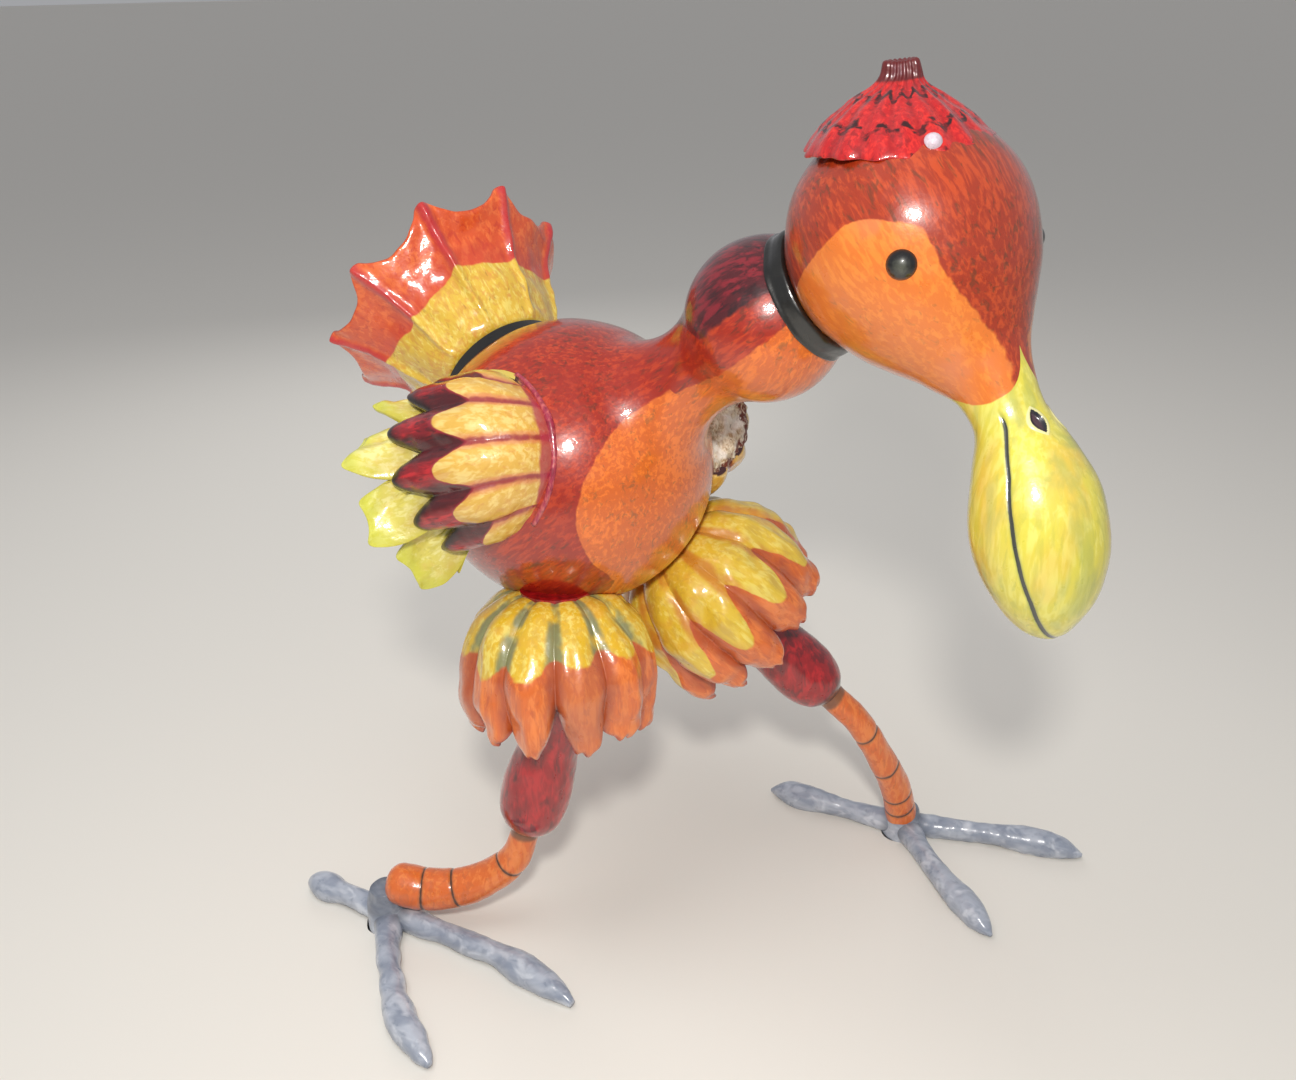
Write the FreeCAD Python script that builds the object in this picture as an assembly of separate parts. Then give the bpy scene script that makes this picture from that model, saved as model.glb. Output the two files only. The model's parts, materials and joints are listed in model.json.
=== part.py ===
import FreeCAD, Part
import math
import os

from FreeCAD import Vector

# A long-necked gourd bird, standing on two three-toed feet.  Millimetres, +Z up, floor at z = 0.
# Everything is laid out with the middle of the belly above (0, 0), the neck leaning along +X and
# the bird's left on +Y.  ORIGIN then moves the finished pieces so that the origin is on the floor
# under the middle of the whole figure.
ORIGIN = Vector(69.0, -15.6, 0.0)

# ---- driving dimensions -------------------------------------------------------------------------
WALL = 5.0                      # dried gourd shell
FIT = 0.05                      # radial clearance of a peg or rod in its bore
GAP = 0.3                       # clearance between gourds that rest on a seat

BELLY = Vector(0, 0, 295)       # centre of the round belly
BELLY_R = 83.8
BULB_DISTANCE = 157.5           # belly centre to neck bulb centre
BULB_R = 42.0
BULB_LEAN = 39.2                # elevation of the line from belly to bulb
WAIST_FILLET = 44.0             # hollow curve between belly and bulb
FACING = -18.0                  # the way the breast, wings, legs and tail are turned

NECK_LEAN = 32.9                # elevation of the line from bulb to head
NECK_CUT = 28.0                 # bulb centre to the sawn face
COLLAR_R = 32.6
COLLAR_BORE = 26.0
COLLAR_LENGTH = 16.0            # before its top is hollowed to the head's curve
HEAD_R = 58.0
HEAD_DISTANCE = 85.4            # bulb centre to head centre
HEAD_YAW = -23.5
PEG_R = 6.0
PEG_LENGTH = 49.5
HEAD_PLUG_R = 14.0
HEAD_PLUG_LENGTH = 36.0
HEAD_BORE = 31.0                # back of the head to the end of the peg's bore
EYE_R = 7.2
EYE_SUNK = 3.2                  # bead centre below the head's surface
EYE_ANGLE = 51.5                # each eye, from the beak's vertical plane

TAIL_AZIMUTH = 158.0
TAIL_LEAN = 30.0
TAIL_SEAT_R = 40.0
TAIL_SEAT_WIDTH = 7.0
TAIL_SEAT_LOW = 60.0            # belly centre to the start of the ring, inside the belly's curve
TAIL_SEAT_RISE = 2.0
TAIL_BASE = 84.6                # belly centre to the underside of the tail gourd
TAIL_PEG_R = 5.0
TAIL_PEG_START = 50.0           # belly centre to the inner end of the peg
TAIL_PEG_END = 100.0
TAIL_BOSS_R = 15.0
TAIL_SOCKET_START = 46.0

WING_AZIMUTH = -95.0
WING_LEAN = 21.0
WING_PLANE = 70.0               # belly centre to the sawn plane of each wing
WING_DROOP = 21.0
WING_FRONT = -41.0              # front edge of the wing, along the wing from its middle
WING_SWEEP = 190.0
LEFT_WING_DROP = 9.0            # the left wing sits this many degrees lower on the belly
WING_BEAD_R = 3.2               # filler bead under the front edge of each wing

ROD_R = 3.0
ROD_START = 52.0                # belly centre to the threaded inner end of each leg rod
LEG_BLOCK_START = 64.0
LEG_BLOCK_R = 15.0
LEG_BLOCK_LENGTH = 20.0
WASHER_R = 9.0
WASHER_THICK = 1.5
NUT_R = 6.0
NUT_THICK = 5.0
FILLER_R = 21.0
FILLER_LENGTH = 24.0
TOE_WIRE_R = 1.2

HAT_WALL = 2.6
TAIL_WALL = 4.0
COVER_WALL = 3.6
FLARE_WALL = 3.0
RUFF_WALL = 4.0
HAT_FINGERS = 18
TAIL_FINGERS = 9
COVER_FINGERS = 9
FLARE_FINGERS = 8
RUFF_FINGERS = 11
RINGS_PER_FINGER = 6


def heading(azimuth, elevation=0.0):
    """Unit vector at an azimuth from +X and an elevation from the floor, in degrees."""
    a = math.radians(azimuth)
    e = math.radians(elevation)
    return Vector(math.cos(e) * math.cos(a), math.cos(e) * math.sin(a), math.sin(e))


def unit(vector):
    return Vector(vector).normalize()


def cylinder(start, axis, radius, length):
    return Part.makeCylinder(radius, length, start, axis)


def mirror_left(shape):
    """The same wing piece on the bird's left side, where the wing sits lower."""
    across = heading(FACING + 90)
    mirrored = shape.mirror(Vector(0, 0, 0), across)
    mirrored.rotate(BELLY, heading(FACING), -LEFT_WING_DROP)
    return mirrored


def main_solid(shape):
    """The largest solid that is left after a cut."""
    return max(shape.Solids, key=lambda solid: solid.Volume)


# ---- smooth free-form solids --------------------------------------------------------------------
RING_POLES = 12
RING_SWELL = 3.0 / (2.0 + math.cos(2 * math.pi / RING_POLES))


def knots(count, periodic):
    """Multiplicities and knots of a uniform cubic with this many poles."""
    if periodic:
        return [1] * (count + 1), list(range(count + 1))
    inner = count - 4
    return [4] + [1] * inner + [4], list(range(inner + 2))


def skin(rings, looped=False):
    """Closed solid over rings of poles; looped joins the last ring to the first."""
    ring_mults, ring_knots = knots(len(rings), looped)
    pole_mults, pole_knots = knots(len(rings[0]), True)
    surface = Part.BSplineSurface()
    surface.buildFromPolesMultsKnots(rings, ring_mults, pole_mults, ring_knots, pole_knots,
                                     looped, True, 3, 3)
    faces = [surface.toShape()]
    if not looped:
        for end in (ring_knots[0], ring_knots[-1]):
            edge = surface.uIso(end).toShape()
            faces.append(Part.Face(Part.Wire([edge])))
    shell = Part.Shell(faces)
    if not looped:
        shell.sewShape()
    solid = Part.Solid(shell)
    if solid.Volume < 0:
        solid.reverse()
    return solid


def spline(points):
    curve = Part.BSplineCurve()
    curve.interpolate([Vector(p) for p in points])
    return curve


def tube(points, radii, count, side=Vector(0, 0, 1)):
    """Round tapering solid with this many rings along a smooth line; radii are spread evenly."""
    line = spline(points)
    first, last = line.FirstParameter, line.LastParameter
    rings = []
    for i in range(count):
        share = i / (count - 1)
        t = first + share * (last - first)
        centre = line.value(t)
        tangent = Vector(*line.tangent(t)[0])
        across = unit(tangent.cross(side))
        over = unit(across.cross(tangent))
        radius = blend_list(radii, share) * RING_SWELL
        ring = []
        for k in range(RING_POLES):
            angle = 2 * math.pi * k / RING_POLES
            ring.append(centre + across * (radius * math.cos(angle))
                        + over * (radius * math.sin(angle)))
        rings.append(ring)
    return skin(rings)


def blend_list(values, share):
    """Smooth value at a share from 0 to 1 along a list of evenly spaced values."""
    place = share * (len(values) - 1)
    low = min(int(place), len(values) - 2)
    part = place - low
    eased = part * part * (3 - 2 * part)
    return values[low] + (values[low + 1] - values[low]) * eased


def crown_shell(pole, axis, out, ridge, groove, wall, fingers, sweep=360.0, sharpness=1.0, first=0.0):
    """Ribbed cup cut from a crown gourd.  It grows from its pole along axis; ridge and groove are
    outer outlines of (radius, height).  The sweep is centred on the out direction, and one finger
    stands at the angle first from it, in degrees."""
    across = unit(axis.cross(out))
    out = unit(across.cross(axis))
    looped = sweep >= 360.0
    count = int(round(fingers * sweep / 360.0 * RINGS_PER_FINGER))
    rings = []
    for i in range(count if looped else count + 1):
        turn = math.radians(-sweep / 2 + sweep * i / count)
        lift = (0.5 + 0.5 * math.cos(fingers * (turn - math.radians(first)))) ** sharpness
        outer = [(g[0] + (r[0] - g[0]) * lift, g[1] + (r[1] - g[1]) * lift)
                 for r, g in zip(ridge, groove)]
        inner = inset(outer, wall)
        direction = out * math.cos(turn) + across * math.sin(turn)
        rings.append([pole + direction * r + axis * z for r, z in outer + inner[::-1]])
    return skin(rings, looped)


def inset(outline, wall):
    """The outline moved inward, towards the axis side, by the wall."""
    moved = []
    last = len(outline) - 1
    for i, (r, z) in enumerate(outline):
        before = outline[max(i - 1, 0)]
        after = outline[min(i + 1, last)]
        dr = after[0] - before[0]
        dz = after[1] - before[1]
        size = math.hypot(dr, dz)
        moved.append((r - wall * dz / size, z + wall * dr / size))
    return moved


# ---- body ---------------------------------------------------------------------------------------
BULB_WAY = heading(0, BULB_LEAN)
BULB = BELLY + BULB_WAY * BULB_DISTANCE
NECK_WAY = heading(0, NECK_LEAN)
HEAD = BULB + NECK_WAY * HEAD_DISTANCE
NECK_FACE = BULB + NECK_WAY * NECK_CUT
TAIL_WAY = heading(TAIL_AZIMUTH, TAIL_LEAN)


def gourd_solid(inset_by):
    """Belly and neck bulb turned about one leaning axis, with a hollow curve between them."""
    belly = BELLY_R - inset_by
    bulb = BULB_R - inset_by
    fillet = WAIST_FILLET + inset_by
    reach = ((belly + fillet) ** 2 - (bulb + fillet) ** 2 + BULB_DISTANCE ** 2) / (2 * BULB_DISTANCE)
    height = math.sqrt((belly + fillet) ** 2 - reach ** 2)
    belly_angle = math.atan2(height, reach)
    bulb_angle = math.atan2(height, BULB_DISTANCE - reach)
    up = Vector(0, 0, 1)

    def arc(x, y, radius, start, end):
        return Part.ArcOfCircle(Part.Circle(Vector(x, y, 0), up, radius), start, end).toShape()

    edges = [
        arc(0, 0, belly, belly_angle, math.pi),
        arc(reach, height, fillet, math.pi + belly_angle, 2 * math.pi - bulb_angle),
        arc(BULB_DISTANCE, 0, bulb, 0, math.pi - bulb_angle),
        Part.makeLine(Vector(-belly, 0, 0), Vector(BULB_DISTANCE + bulb, 0, 0)),
    ]
    profile = Part.Face(Part.Wire(Part.__sortEdges__(edges)))
    solid = profile.revolve(Vector(0, 0, 0), Vector(1, 0, 0), 360)
    solid.rotate(Vector(0, 0, 0), Vector(0, 1, 0), -BULB_LEAN)
    solid.translate(BELLY)
    return solid


def body_gourd():
    shell = gourd_solid(0).cut(gourd_solid(WALL))
    mouth = cylinder(NECK_FACE, NECK_WAY, 2 * BULB_R, BULB_R)
    shell = shell.cut(mouth)
    shell = shell.cut(cylinder(BELLY, TAIL_WAY, TAIL_PEG_R + FIT, 1.2 * BELLY_R))
    for side in SIDES:
        shell = shell.cut(rod_bore(side))
    return shell


def neck_collar():
    """Black seat ring glued to the sawn neck; its hollow top is turned to the head's curve."""
    ring = cylinder(NECK_FACE, NECK_WAY, COLLAR_R, COLLAR_LENGTH)
    ring = ring.cut(cylinder(NECK_FACE, NECK_WAY, COLLAR_BORE, COLLAR_LENGTH))
    return ring.cut(Part.makeSphere(HEAD_R + GAP, HEAD))


PLUG_DEPTH = 26.0
PLUG_SUNK = 1.5
BORE_DEPTH = 20.0


def neck_plug():
    """Wooden plug glued in the neck, just below the sawn face, with a blind bore for the peg."""
    plug = cylinder(NECK_FACE - NECK_WAY * PLUG_DEPTH, NECK_WAY, 2 * BULB_R, PLUG_DEPTH - PLUG_SUNK)
    plug = plug.common(gourd_solid(WALL))
    return plug.cut(cylinder(NECK_FACE - NECK_WAY * BORE_DEPTH, NECK_WAY, PEG_R + FIT, BORE_DEPTH))


def neck_peg():
    start = NECK_FACE - NECK_WAY * (BORE_DEPTH - GAP)
    peg = cylinder(start, NECK_WAY, PEG_R, PEG_LENGTH)
    return peg.makeChamfer(1.0, [edge for edge in peg.Edges if edge.isClosed()])


# ---- head ---------------------------------------------------------------------------------------
HEAD_OUT = heading(HEAD_YAW)
# Centre line of head and beak: (forward, up) from the head centre, and the gourd's radius there.
BEAK_LINE = [(57, -57, 18.5), (66, -69, 16.6), (76, -86, 23.5), (84, -104, 29.5), (90, -121, 30.5),
             (95, -139, 26.5), (98, -154, 18.5), (100, -164, 9.0), (100.5, -167.5, 2.0)]
# Head above the beak: (distance along the 45 degree line from the head centre, radius).
HEAD_SHOULDER = [(37, 46.5), (50, 37.5), (63, 27.8)]


def head_point(forward, up):
    return HEAD + HEAD_OUT * forward + Vector(0, 0, up)


def head_solid(inset_by):
    """Round head and curved beak of one bottle gourd."""
    slope = math.sqrt(0.5)
    radius = HEAD_R - inset_by
    stations = []
    for degrees in (176, 166, 154, 140, 125, 110, 95, 80, 66):
        angle = math.radians(degrees)
        along = radius * math.cos(angle)
        stations.append((along * slope, -along * slope, radius * math.sin(angle)))
    for along, across in HEAD_SHOULDER:
        stations.append((along * slope, -along * slope, across - inset_by))
    for forward, up, across in BEAK_LINE:
        if across > inset_by + 1.5:
            stations.append((forward, up, across - inset_by))
    circles = []
    last = len(stations) - 1
    for i, (forward, up, across) in enumerate(stations):
        before = stations[max(i - 1, 0)]
        after = stations[min(i + 1, last)]
        way = unit(HEAD_OUT * (after[0] - before[0]) + Vector(0, 0, after[1] - before[1]))
        circle = Part.Circle(head_point(forward, up), way, across)
        circles.append(Part.Wire([circle.toShape()]))
    return Part.makeLoft(circles, True, False)


def head_gourd():
    shell = head_solid(0).cut(head_solid(WALL))
    shell = shell.cut(cylinder(HEAD - NECK_WAY * 1.2 * HEAD_R, NECK_WAY, PEG_R + FIT, HEAD_R))
    for side in (-1, 1):
        shell = shell.cut(eye_bead(side))
    return shell


def head_plug():
    """Wooden boss glued inside the back of the head; it takes the top of the peg."""
    back = HEAD - NECK_WAY * HEAD_R
    boss = cylinder(back, NECK_WAY, HEAD_PLUG_R, HEAD_PLUG_LENGTH).common(head_solid(WALL))
    return boss.cut(cylinder(back, NECK_WAY, PEG_R + FIT, HEAD_BORE))


def eye_bead(side):
    """Glass bead set in the head: a shallow dome on a short shank."""
    way = heading(HEAD_YAW + side * EYE_ANGLE)
    bead = Part.makeSphere(EYE_R, HEAD + way * (HEAD_R - EYE_SUNK))
    keep = cylinder(HEAD + way * (HEAD_R - WALL), way, 2 * EYE_R, 3 * EYE_R)
    return bead.common(keep)


HAT_WAY = unit(Vector(-0.09, -0.05, 0.99))
HAT_TOP = HEAD + Vector(-9.0, -3.2, 45.5) + HAT_WAY * 33
HAT_RIDGE = [(4.0, 1.0), (8.0, 0.0), (8.4, 5.0), (9.6, 9.5), (18.0, 14.5), (28.0, 21.0), (36.0, 27.5),
             (43.0, 36.5)]
HAT_GROOVE = [(3.8, 1.5), (7.2, 0.5), (7.4, 5.0), (8.6, 9.8), (17.0, 15.4), (27.0, 22.2), (34.8, 28.8),
              (40.5, 35.0)]
GLUE_WAY = unit(Vector(0.28, -0.52, 0.80))
GLUE_R = 4.2
SKIM = 0.02                     # gap where a shell is cut to a sphere that it rests on


def hat():
    shape = crown_shell(HAT_TOP, -HAT_WAY, HEAD_OUT, HAT_RIDGE, HAT_GROOVE, HAT_WALL, HAT_FINGERS)
    return shape.cut(Part.makeSphere(HEAD_R + SKIM, HEAD))


def hat_glue():
    """Lump of glue squeezed out where the hat's rim meets the head."""
    lump = Part.makeSphere(GLUE_R, HEAD + GLUE_WAY * HEAD_R)
    return main_solid(lump.cut(Part.makeSphere(HEAD_R, HEAD)).cut(hat()))


# ---- tail ---------------------------------------------------------------------------------------
TAIL_RIDGE = [(9, 0.5), (22, 0.3), (33, -3.5), (40.5, -4), (46, 7), (51, 22), (57, 37), (65, 50),
              (75, 62), (81, 69)]
TAIL_GROOVE = [(9, 0.5), (22, 0.3), (33, -3.5), (40, -4), (45, 7), (49.5, 19), (53, 32), (58, 43),
               (64, 51), (70, 57)]


def turned(outline, base, axis):
    """Solid of revolution under an outline of (radius, height), standing on its pole at base."""
    points = [Vector(0, 0, outline[0][1])] + [Vector(r, 0, z) for r, z in outline]
    points.append(Vector(0, 0, outline[-1][1]))
    face = Part.Face(Part.makePolygon(points + points[:1]))
    solid = face.revolve(Vector(0, 0, 0), Vector(0, 0, 1), 360)
    solid.Placement = FreeCAD.Placement(base, FreeCAD.Rotation(Vector(0, 0, 1), axis))
    return solid


def tail_collar():
    """Black seat ring on the back; its top is turned to the underside of the tail gourd."""
    start = BELLY + TAIL_WAY * TAIL_SEAT_LOW
    height = TAIL_BASE - TAIL_SEAT_LOW + TAIL_SEAT_RISE
    ring = cylinder(start, TAIL_WAY, TAIL_SEAT_R, height)
    ring = ring.cut(cylinder(start, TAIL_WAY, TAIL_SEAT_R - TAIL_SEAT_WIDTH, height))
    ring = ring.cut(Part.makeSphere(BELLY_R, BELLY))
    return ring.cut(turned(TAIL_RIDGE, BELLY + TAIL_WAY * (TAIL_BASE - GAP), TAIL_WAY))


def tail_gourd():
    pole = BELLY + TAIL_WAY * TAIL_BASE
    return crown_shell(pole, TAIL_WAY, heading(0, 90), TAIL_RIDGE, TAIL_GROOVE, TAIL_WALL, TAIL_FINGERS,
                       first=16)


TAIL_HUB_BASE = TAIL_BASE + 5.0
TAIL_HUB_TOP = TAIL_PEG_END + 4.0


def tail_hub():
    """Wooden boss glued inside the tail gourd, round the peg."""
    hub = cylinder(BELLY + TAIL_WAY * TAIL_HUB_BASE, TAIL_WAY, TAIL_BOSS_R, TAIL_HUB_TOP - TAIL_HUB_BASE)
    return hub.cut(cylinder(BELLY, TAIL_WAY, TAIL_PEG_R, TAIL_PEG_END))


def tail_peg():
    return cylinder(BELLY + TAIL_WAY * TAIL_PEG_START, TAIL_WAY, TAIL_PEG_R, TAIL_PEG_END - TAIL_PEG_START)


def tail_socket():
    """Wooden boss glued inside the belly, behind the tail's seat."""
    boss = cylinder(BELLY + TAIL_WAY * TAIL_SOCKET_START, TAIL_WAY, TAIL_BOSS_R, BELLY_R)
    boss = boss.common(Part.makeSphere(BELLY_R - WALL, BELLY))
    return boss.cut(cylinder(BELLY + TAIL_WAY * (TAIL_PEG_START - 0.5), TAIL_WAY, TAIL_PEG_R + FIT, BELLY_R))


# ---- wings --------------------------------------------------------------------------------------
WING_OUT = heading(WING_AZIMUTH, WING_LEAN)
WING_LEVEL = heading(WING_AZIMUTH - 90)
WING_DOWN = unit(WING_OUT.cross(WING_LEVEL))
WING_WAY = unit(WING_LEVEL * math.cos(math.radians(WING_DROOP))
                + WING_DOWN * math.sin(math.radians(WING_DROOP)))
COVER_RIDGE = [(3, 0), (16, 1.5), (30, 6), (40, 14), (46, 28), (48, 45), (49, 61), (48, 76)]
COVER_GROOVE = [(3, 0.5), (15, 2.5), (27, 8), (36, 16), (41, 28), (43, 39), (43, 49), (42, 57)]
FLARE_RIDGE = [(30, 44), (33, 51), (36, 59), (38, 67), (41, 77), (47, 86), (55, 92)]
FLARE_GROOVE = [(29, 44), (31, 50), (33, 56), (35, 62), (37, 68), (40, 74), (44, 78)]
WING_POLE = BELLY + WING_OUT * WING_PLANE + WING_WAY * WING_FRONT


def wing_cover():
    cover = crown_shell(WING_POLE, WING_WAY, WING_OUT, COVER_RIDGE, COVER_GROOVE, COVER_WALL, COVER_FINGERS,
                        WING_SWEEP, first=20)
    return cover.cut(Part.makeSphere(BELLY_R, BELLY))


def wing_flare():
    flare = crown_shell(WING_POLE, WING_WAY, WING_OUT, FLARE_RIDGE, FLARE_GROOVE, FLARE_WALL, FLARE_FINGERS,
                        WING_SWEEP, first=22.5)
    return flare.cut(Part.makeSphere(BELLY_R, BELLY))


OPEN_FRONT = 11.0


def open_front(cover):
    """The left cover is sawn off at the front, so its raw edge stands open."""
    room = 120
    start = WING_POLE + WING_WAY * (OPEN_FRONT - room)
    return main_solid(cover.cut(cylinder(start, WING_WAY, room, room)))


def wing_putty(cover):
    """Bead of filler under the front edge of a wing cover, on the belly."""
    radius = math.sqrt(BELLY_R ** 2 - WING_PLANE ** 2) - 2.5
    sweep = 150
    ring = Part.makeTorus(radius, WING_BEAD_R, Vector(0, 0, 0), Vector(0, 0, 1), 0, 360, sweep)
    turn = FreeCAD.Rotation(-WING_WAY, WING_OUT.cross(-WING_WAY), WING_OUT, "ZXY")
    half = FreeCAD.Rotation(WING_OUT, -sweep / 2)
    ring.Placement = FreeCAD.Placement(BELLY + WING_OUT * WING_PLANE, half.multiply(turn))
    return main_solid(ring.cut(Part.makeSphere(BELLY_R, BELLY)).cut(cover))


# ---- legs ---------------------------------------------------------------------------------------
SIDES = ("right", "left")
LEG_SIDE = Vector(0.3, 1, 0)
ROD_RINGS = 40
HIP = {"right": Vector(20.6, -56, 236.2), "left": Vector(43.5, 36.3, 233.4)}
RUFF_WAY = {"right": unit(Vector(0.06, -0.11, -1)), "left": unit(Vector(0.56, 0.40, -0.72))}
RUFF_SCALE = {"right": 1.0, "left": 1.08}
KNEE = {"right": Vector(1, -70, 78), "left": Vector(136, 86, 128)}
THIGH_BEND = {"right": Vector(22, -63, 158), "left": Vector(96, 67, 170)}
SHANK_LINE = {
    "right": [KNEE["right"], Vector(-6, -75, 54), Vector(-30, -88, 33), Vector(-58, -102, 27),
              Vector(-82, -112, 32)],
    "left": [KNEE["left"], Vector(154, 97, 104), Vector(167, 110, 72), Vector(175, 124, 40),
             Vector(179, 131, 14)],
}
SHANK_RADII = {"right": [8.8, 9.6, 11, 12.5, 13.4, 13.2], "left": [9.0, 9.0, 9.4, 10.0, 10.6, 11.0]}
THIGH_RADII = {"right": [8, 12, 17, 20, 18.5, 22, 19, 11], "left": [8, 12, 16, 18, 18, 20, 18, 11]}
HUB = {"right": Vector(-83, -114, 0), "left": Vector(180, 132, 0)}
TOE_TIPS = {
    "right": {"hind": Vector(-151, -114.5, 0), "outer": Vector(16, -194.5, 0), "inner": Vector(62, -118.5, 0)},
    "left": {"hind": Vector(81, 127, 0), "outer": Vector(298, 161, 0), "inner": Vector(264, 56, 0)},
}
HUB_TOP = {"right": 27.0, "left": 20.0}
TOE_HEIGHT = 6.2
TOE_RADII = [9.5, 8.2, 7.6, 7.8, 9.4, 7.5, 2.2]
TOE_BOW = {"right": {"hind": 0, "outer": -9, "inner": 6}, "left": {"hind": 2, "outer": 3, "inner": -3}}
RUFF_POLE = {"right": Vector(19, -50, 239), "left": Vector(40, 33, 239)}
RUFF_RIDGE = [(9, 1), (22, 0), (38, 6), (50, 20), (57, 40), (56, 60), (49, 76), (38, 84)]
RUFF_GROOVE = [(9, 1.5), (21, 1), (35, 8), (46, 22), (51, 38), (51, 52), (48, 62), (44, 69)]


def hip_way(side):
    return unit(HIP[side] - BELLY)


def rod_line(side):
    way = hip_way(side)
    shank = SHANK_LINE[side]
    return ([BELLY + way * ROD_START, BELLY + way * LEG_BLOCK_START, HIP[side], THIGH_BEND[side]]
            + shank[:-1] + [shank[-2] * 0.25 + shank[-1] * 0.75])


def leg_rod(side):
    """Bent steel rod from inside the belly down to the ankle."""
    return tube(rod_line(side), [ROD_R] * 4, ROD_RINGS, LEG_SIDE)


def rod_bore(side):
    return tube(rod_line(side), [ROD_R + FIT] * 4, ROD_RINGS, LEG_SIDE)


def ruff(side):
    scale = RUFF_SCALE[side]
    ridge = [(r * scale, z * scale) for r, z in RUFF_RIDGE]
    groove = [(r * scale, z * scale) for r, z in RUFF_GROOVE]
    way = RUFF_WAY[side]
    out = unit(way.cross(heading(FACING)))
    cup = crown_shell(RUFF_POLE[side], way, out, ridge, groove, RUFF_WALL, RUFF_FINGERS, sharpness=0.8)
    return main_solid(cup.cut(Part.makeSphere(BELLY_R, BELLY)).cut(drumstick(side)))


def hip_filler(side):
    """Lump of filler inside the top of the ruff; it bonds ruff, thigh and belly."""
    lump = cylinder(RUFF_POLE[side], RUFF_WAY[side], FILLER_R, FILLER_LENGTH)
    lump = lump.cut(Part.makeSphere(BELLY_R, BELLY)).cut(ruff(side))
    return main_solid(lump.cut(drumstick(side)).cut(rod_bore(side)))


def drumstick(side):
    start = HIP[side] + RUFF_WAY[side] * 6
    line = [start, THIGH_BEND[side], THIGH_BEND[side] * 0.35 + KNEE[side] * 0.65, KNEE[side]]
    solid = tube(line, THIGH_RADII[side], 22, LEG_SIDE)
    return main_solid(solid.cut(Part.makeSphere(BELLY_R, BELLY)).cut(rod_bore(side)))


def shank(side):
    line = SHANK_LINE[side]
    solid = tube(line, SHANK_RADII[side], 18, LEG_SIDE)
    return solid.cut(rod_bore(side)).cut(drumstick(side))


def above_floor(shape):
    room = 900
    floor = Part.makeBox(room, room, room, Vector(-room / 2, -room / 2, 0))
    return shape.common(floor)


def foot_hub(side):
    """Lump of clay that joins the toes and holds the end of the shank."""
    centre = HUB[side]
    top = Vector(centre.x, centre.y, HUB_TOP[side])
    line = [centre + Vector(0, 0, -6), centre * 0.5 + top * 0.5, top]
    lump = tube(line, [15, 14, 12.5, 9], 10, Vector(1, 0.2, 0))
    lump = main_solid(above_floor(lump).cut(shank(side)).cut(rod_bore(side)))
    for name in TOE_TIPS[side]:
        lump = lump.cut(toe_wire(side, name))
    return lump


def toe_line(side, name):
    """Middle line of a toe: it leaves the hub level, bows sideways and ends in a low claw."""
    hub = HUB[side]
    tip = TOE_TIPS[side][name]
    way = unit(tip - hub)
    across = Vector(0, 0, 1).cross(way) * TOE_BOW[side][name]
    length = (tip - hub).Length
    height = Vector(0, 0, TOE_HEIGHT)
    return [hub + height,
            hub + way * (0.35 * length) + across * 0.8 + height,
            hub + way * (0.72 * length) + across * 0.9 + height,
            hub + way * (0.9 * length) + across * 0.4 + height * 0.85,
            tip + height * 0.5]


def toe(side, name):
    solid = main_solid(above_floor(tube(toe_line(side, name), TOE_RADII, 16)))
    tools = [foot_hub(side), shank(side), toe_wire(side, name)]
    if name == "inner":
        tools.append(tube(toe_line(side, "outer"), TOE_RADII, 16))
    for tool in tools:
        solid = main_solid(solid.cut(tool))
    return solid


def toe_wire(side, name):
    """Steel wire down the middle of a toe, under the clay."""
    line = toe_line(side, name)
    start = line[0] * 0.9 + line[1] * 0.1
    return tube([start] + line[1:4], [TOE_WIRE_R] * 3, 8)


def foot_wires(side):
    return Part.Compound([toe_wire(side, name) for name in TOE_TIPS[side]])


def leg_fasteners(radius, start, length, corners=0):
    """A washer, or a nut with this many corners, on the inner end of each leg rod."""
    pieces = []
    for side in SIDES:
        way = hip_way(side)
        place = BELLY + way * start
        if corners:
            points = [Vector(radius * math.cos(2 * math.pi * k / corners),
                             radius * math.sin(2 * math.pi * k / corners), 0) for k in range(corners + 1)]
            prism = Part.Face(Part.makePolygon(points)).extrude(Vector(0, 0, length))
            prism.Placement = FreeCAD.Placement(place, FreeCAD.Rotation(Vector(0, 0, 1), way))
        else:
            prism = cylinder(place, way, radius, length)
        pieces.append(prism.cut(rod_bore(side)))
    return Part.Compound(pieces)


def leg_block(side):
    """Wooden block glued inside the belly, where a leg rod is bolted."""
    way = hip_way(side)
    block = cylinder(BELLY + way * LEG_BLOCK_START, way, LEG_BLOCK_R, LEG_BLOCK_LENGTH)
    return block.common(Part.makeSphere(BELLY_R - WALL, BELLY)).cut(rod_bore(side))


def save(name, shape):
    """Write one node, moved so that the origin is under the middle of the figure."""
    moved = shape.copy()
    moved.translate(ORIGIN * -1)
    moved.exportStep("parts/" + name + ".step")
    print(name, "valid", moved.isValid(), "solids", len(moved.Solids), "volume", round(moved.Volume))


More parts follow.
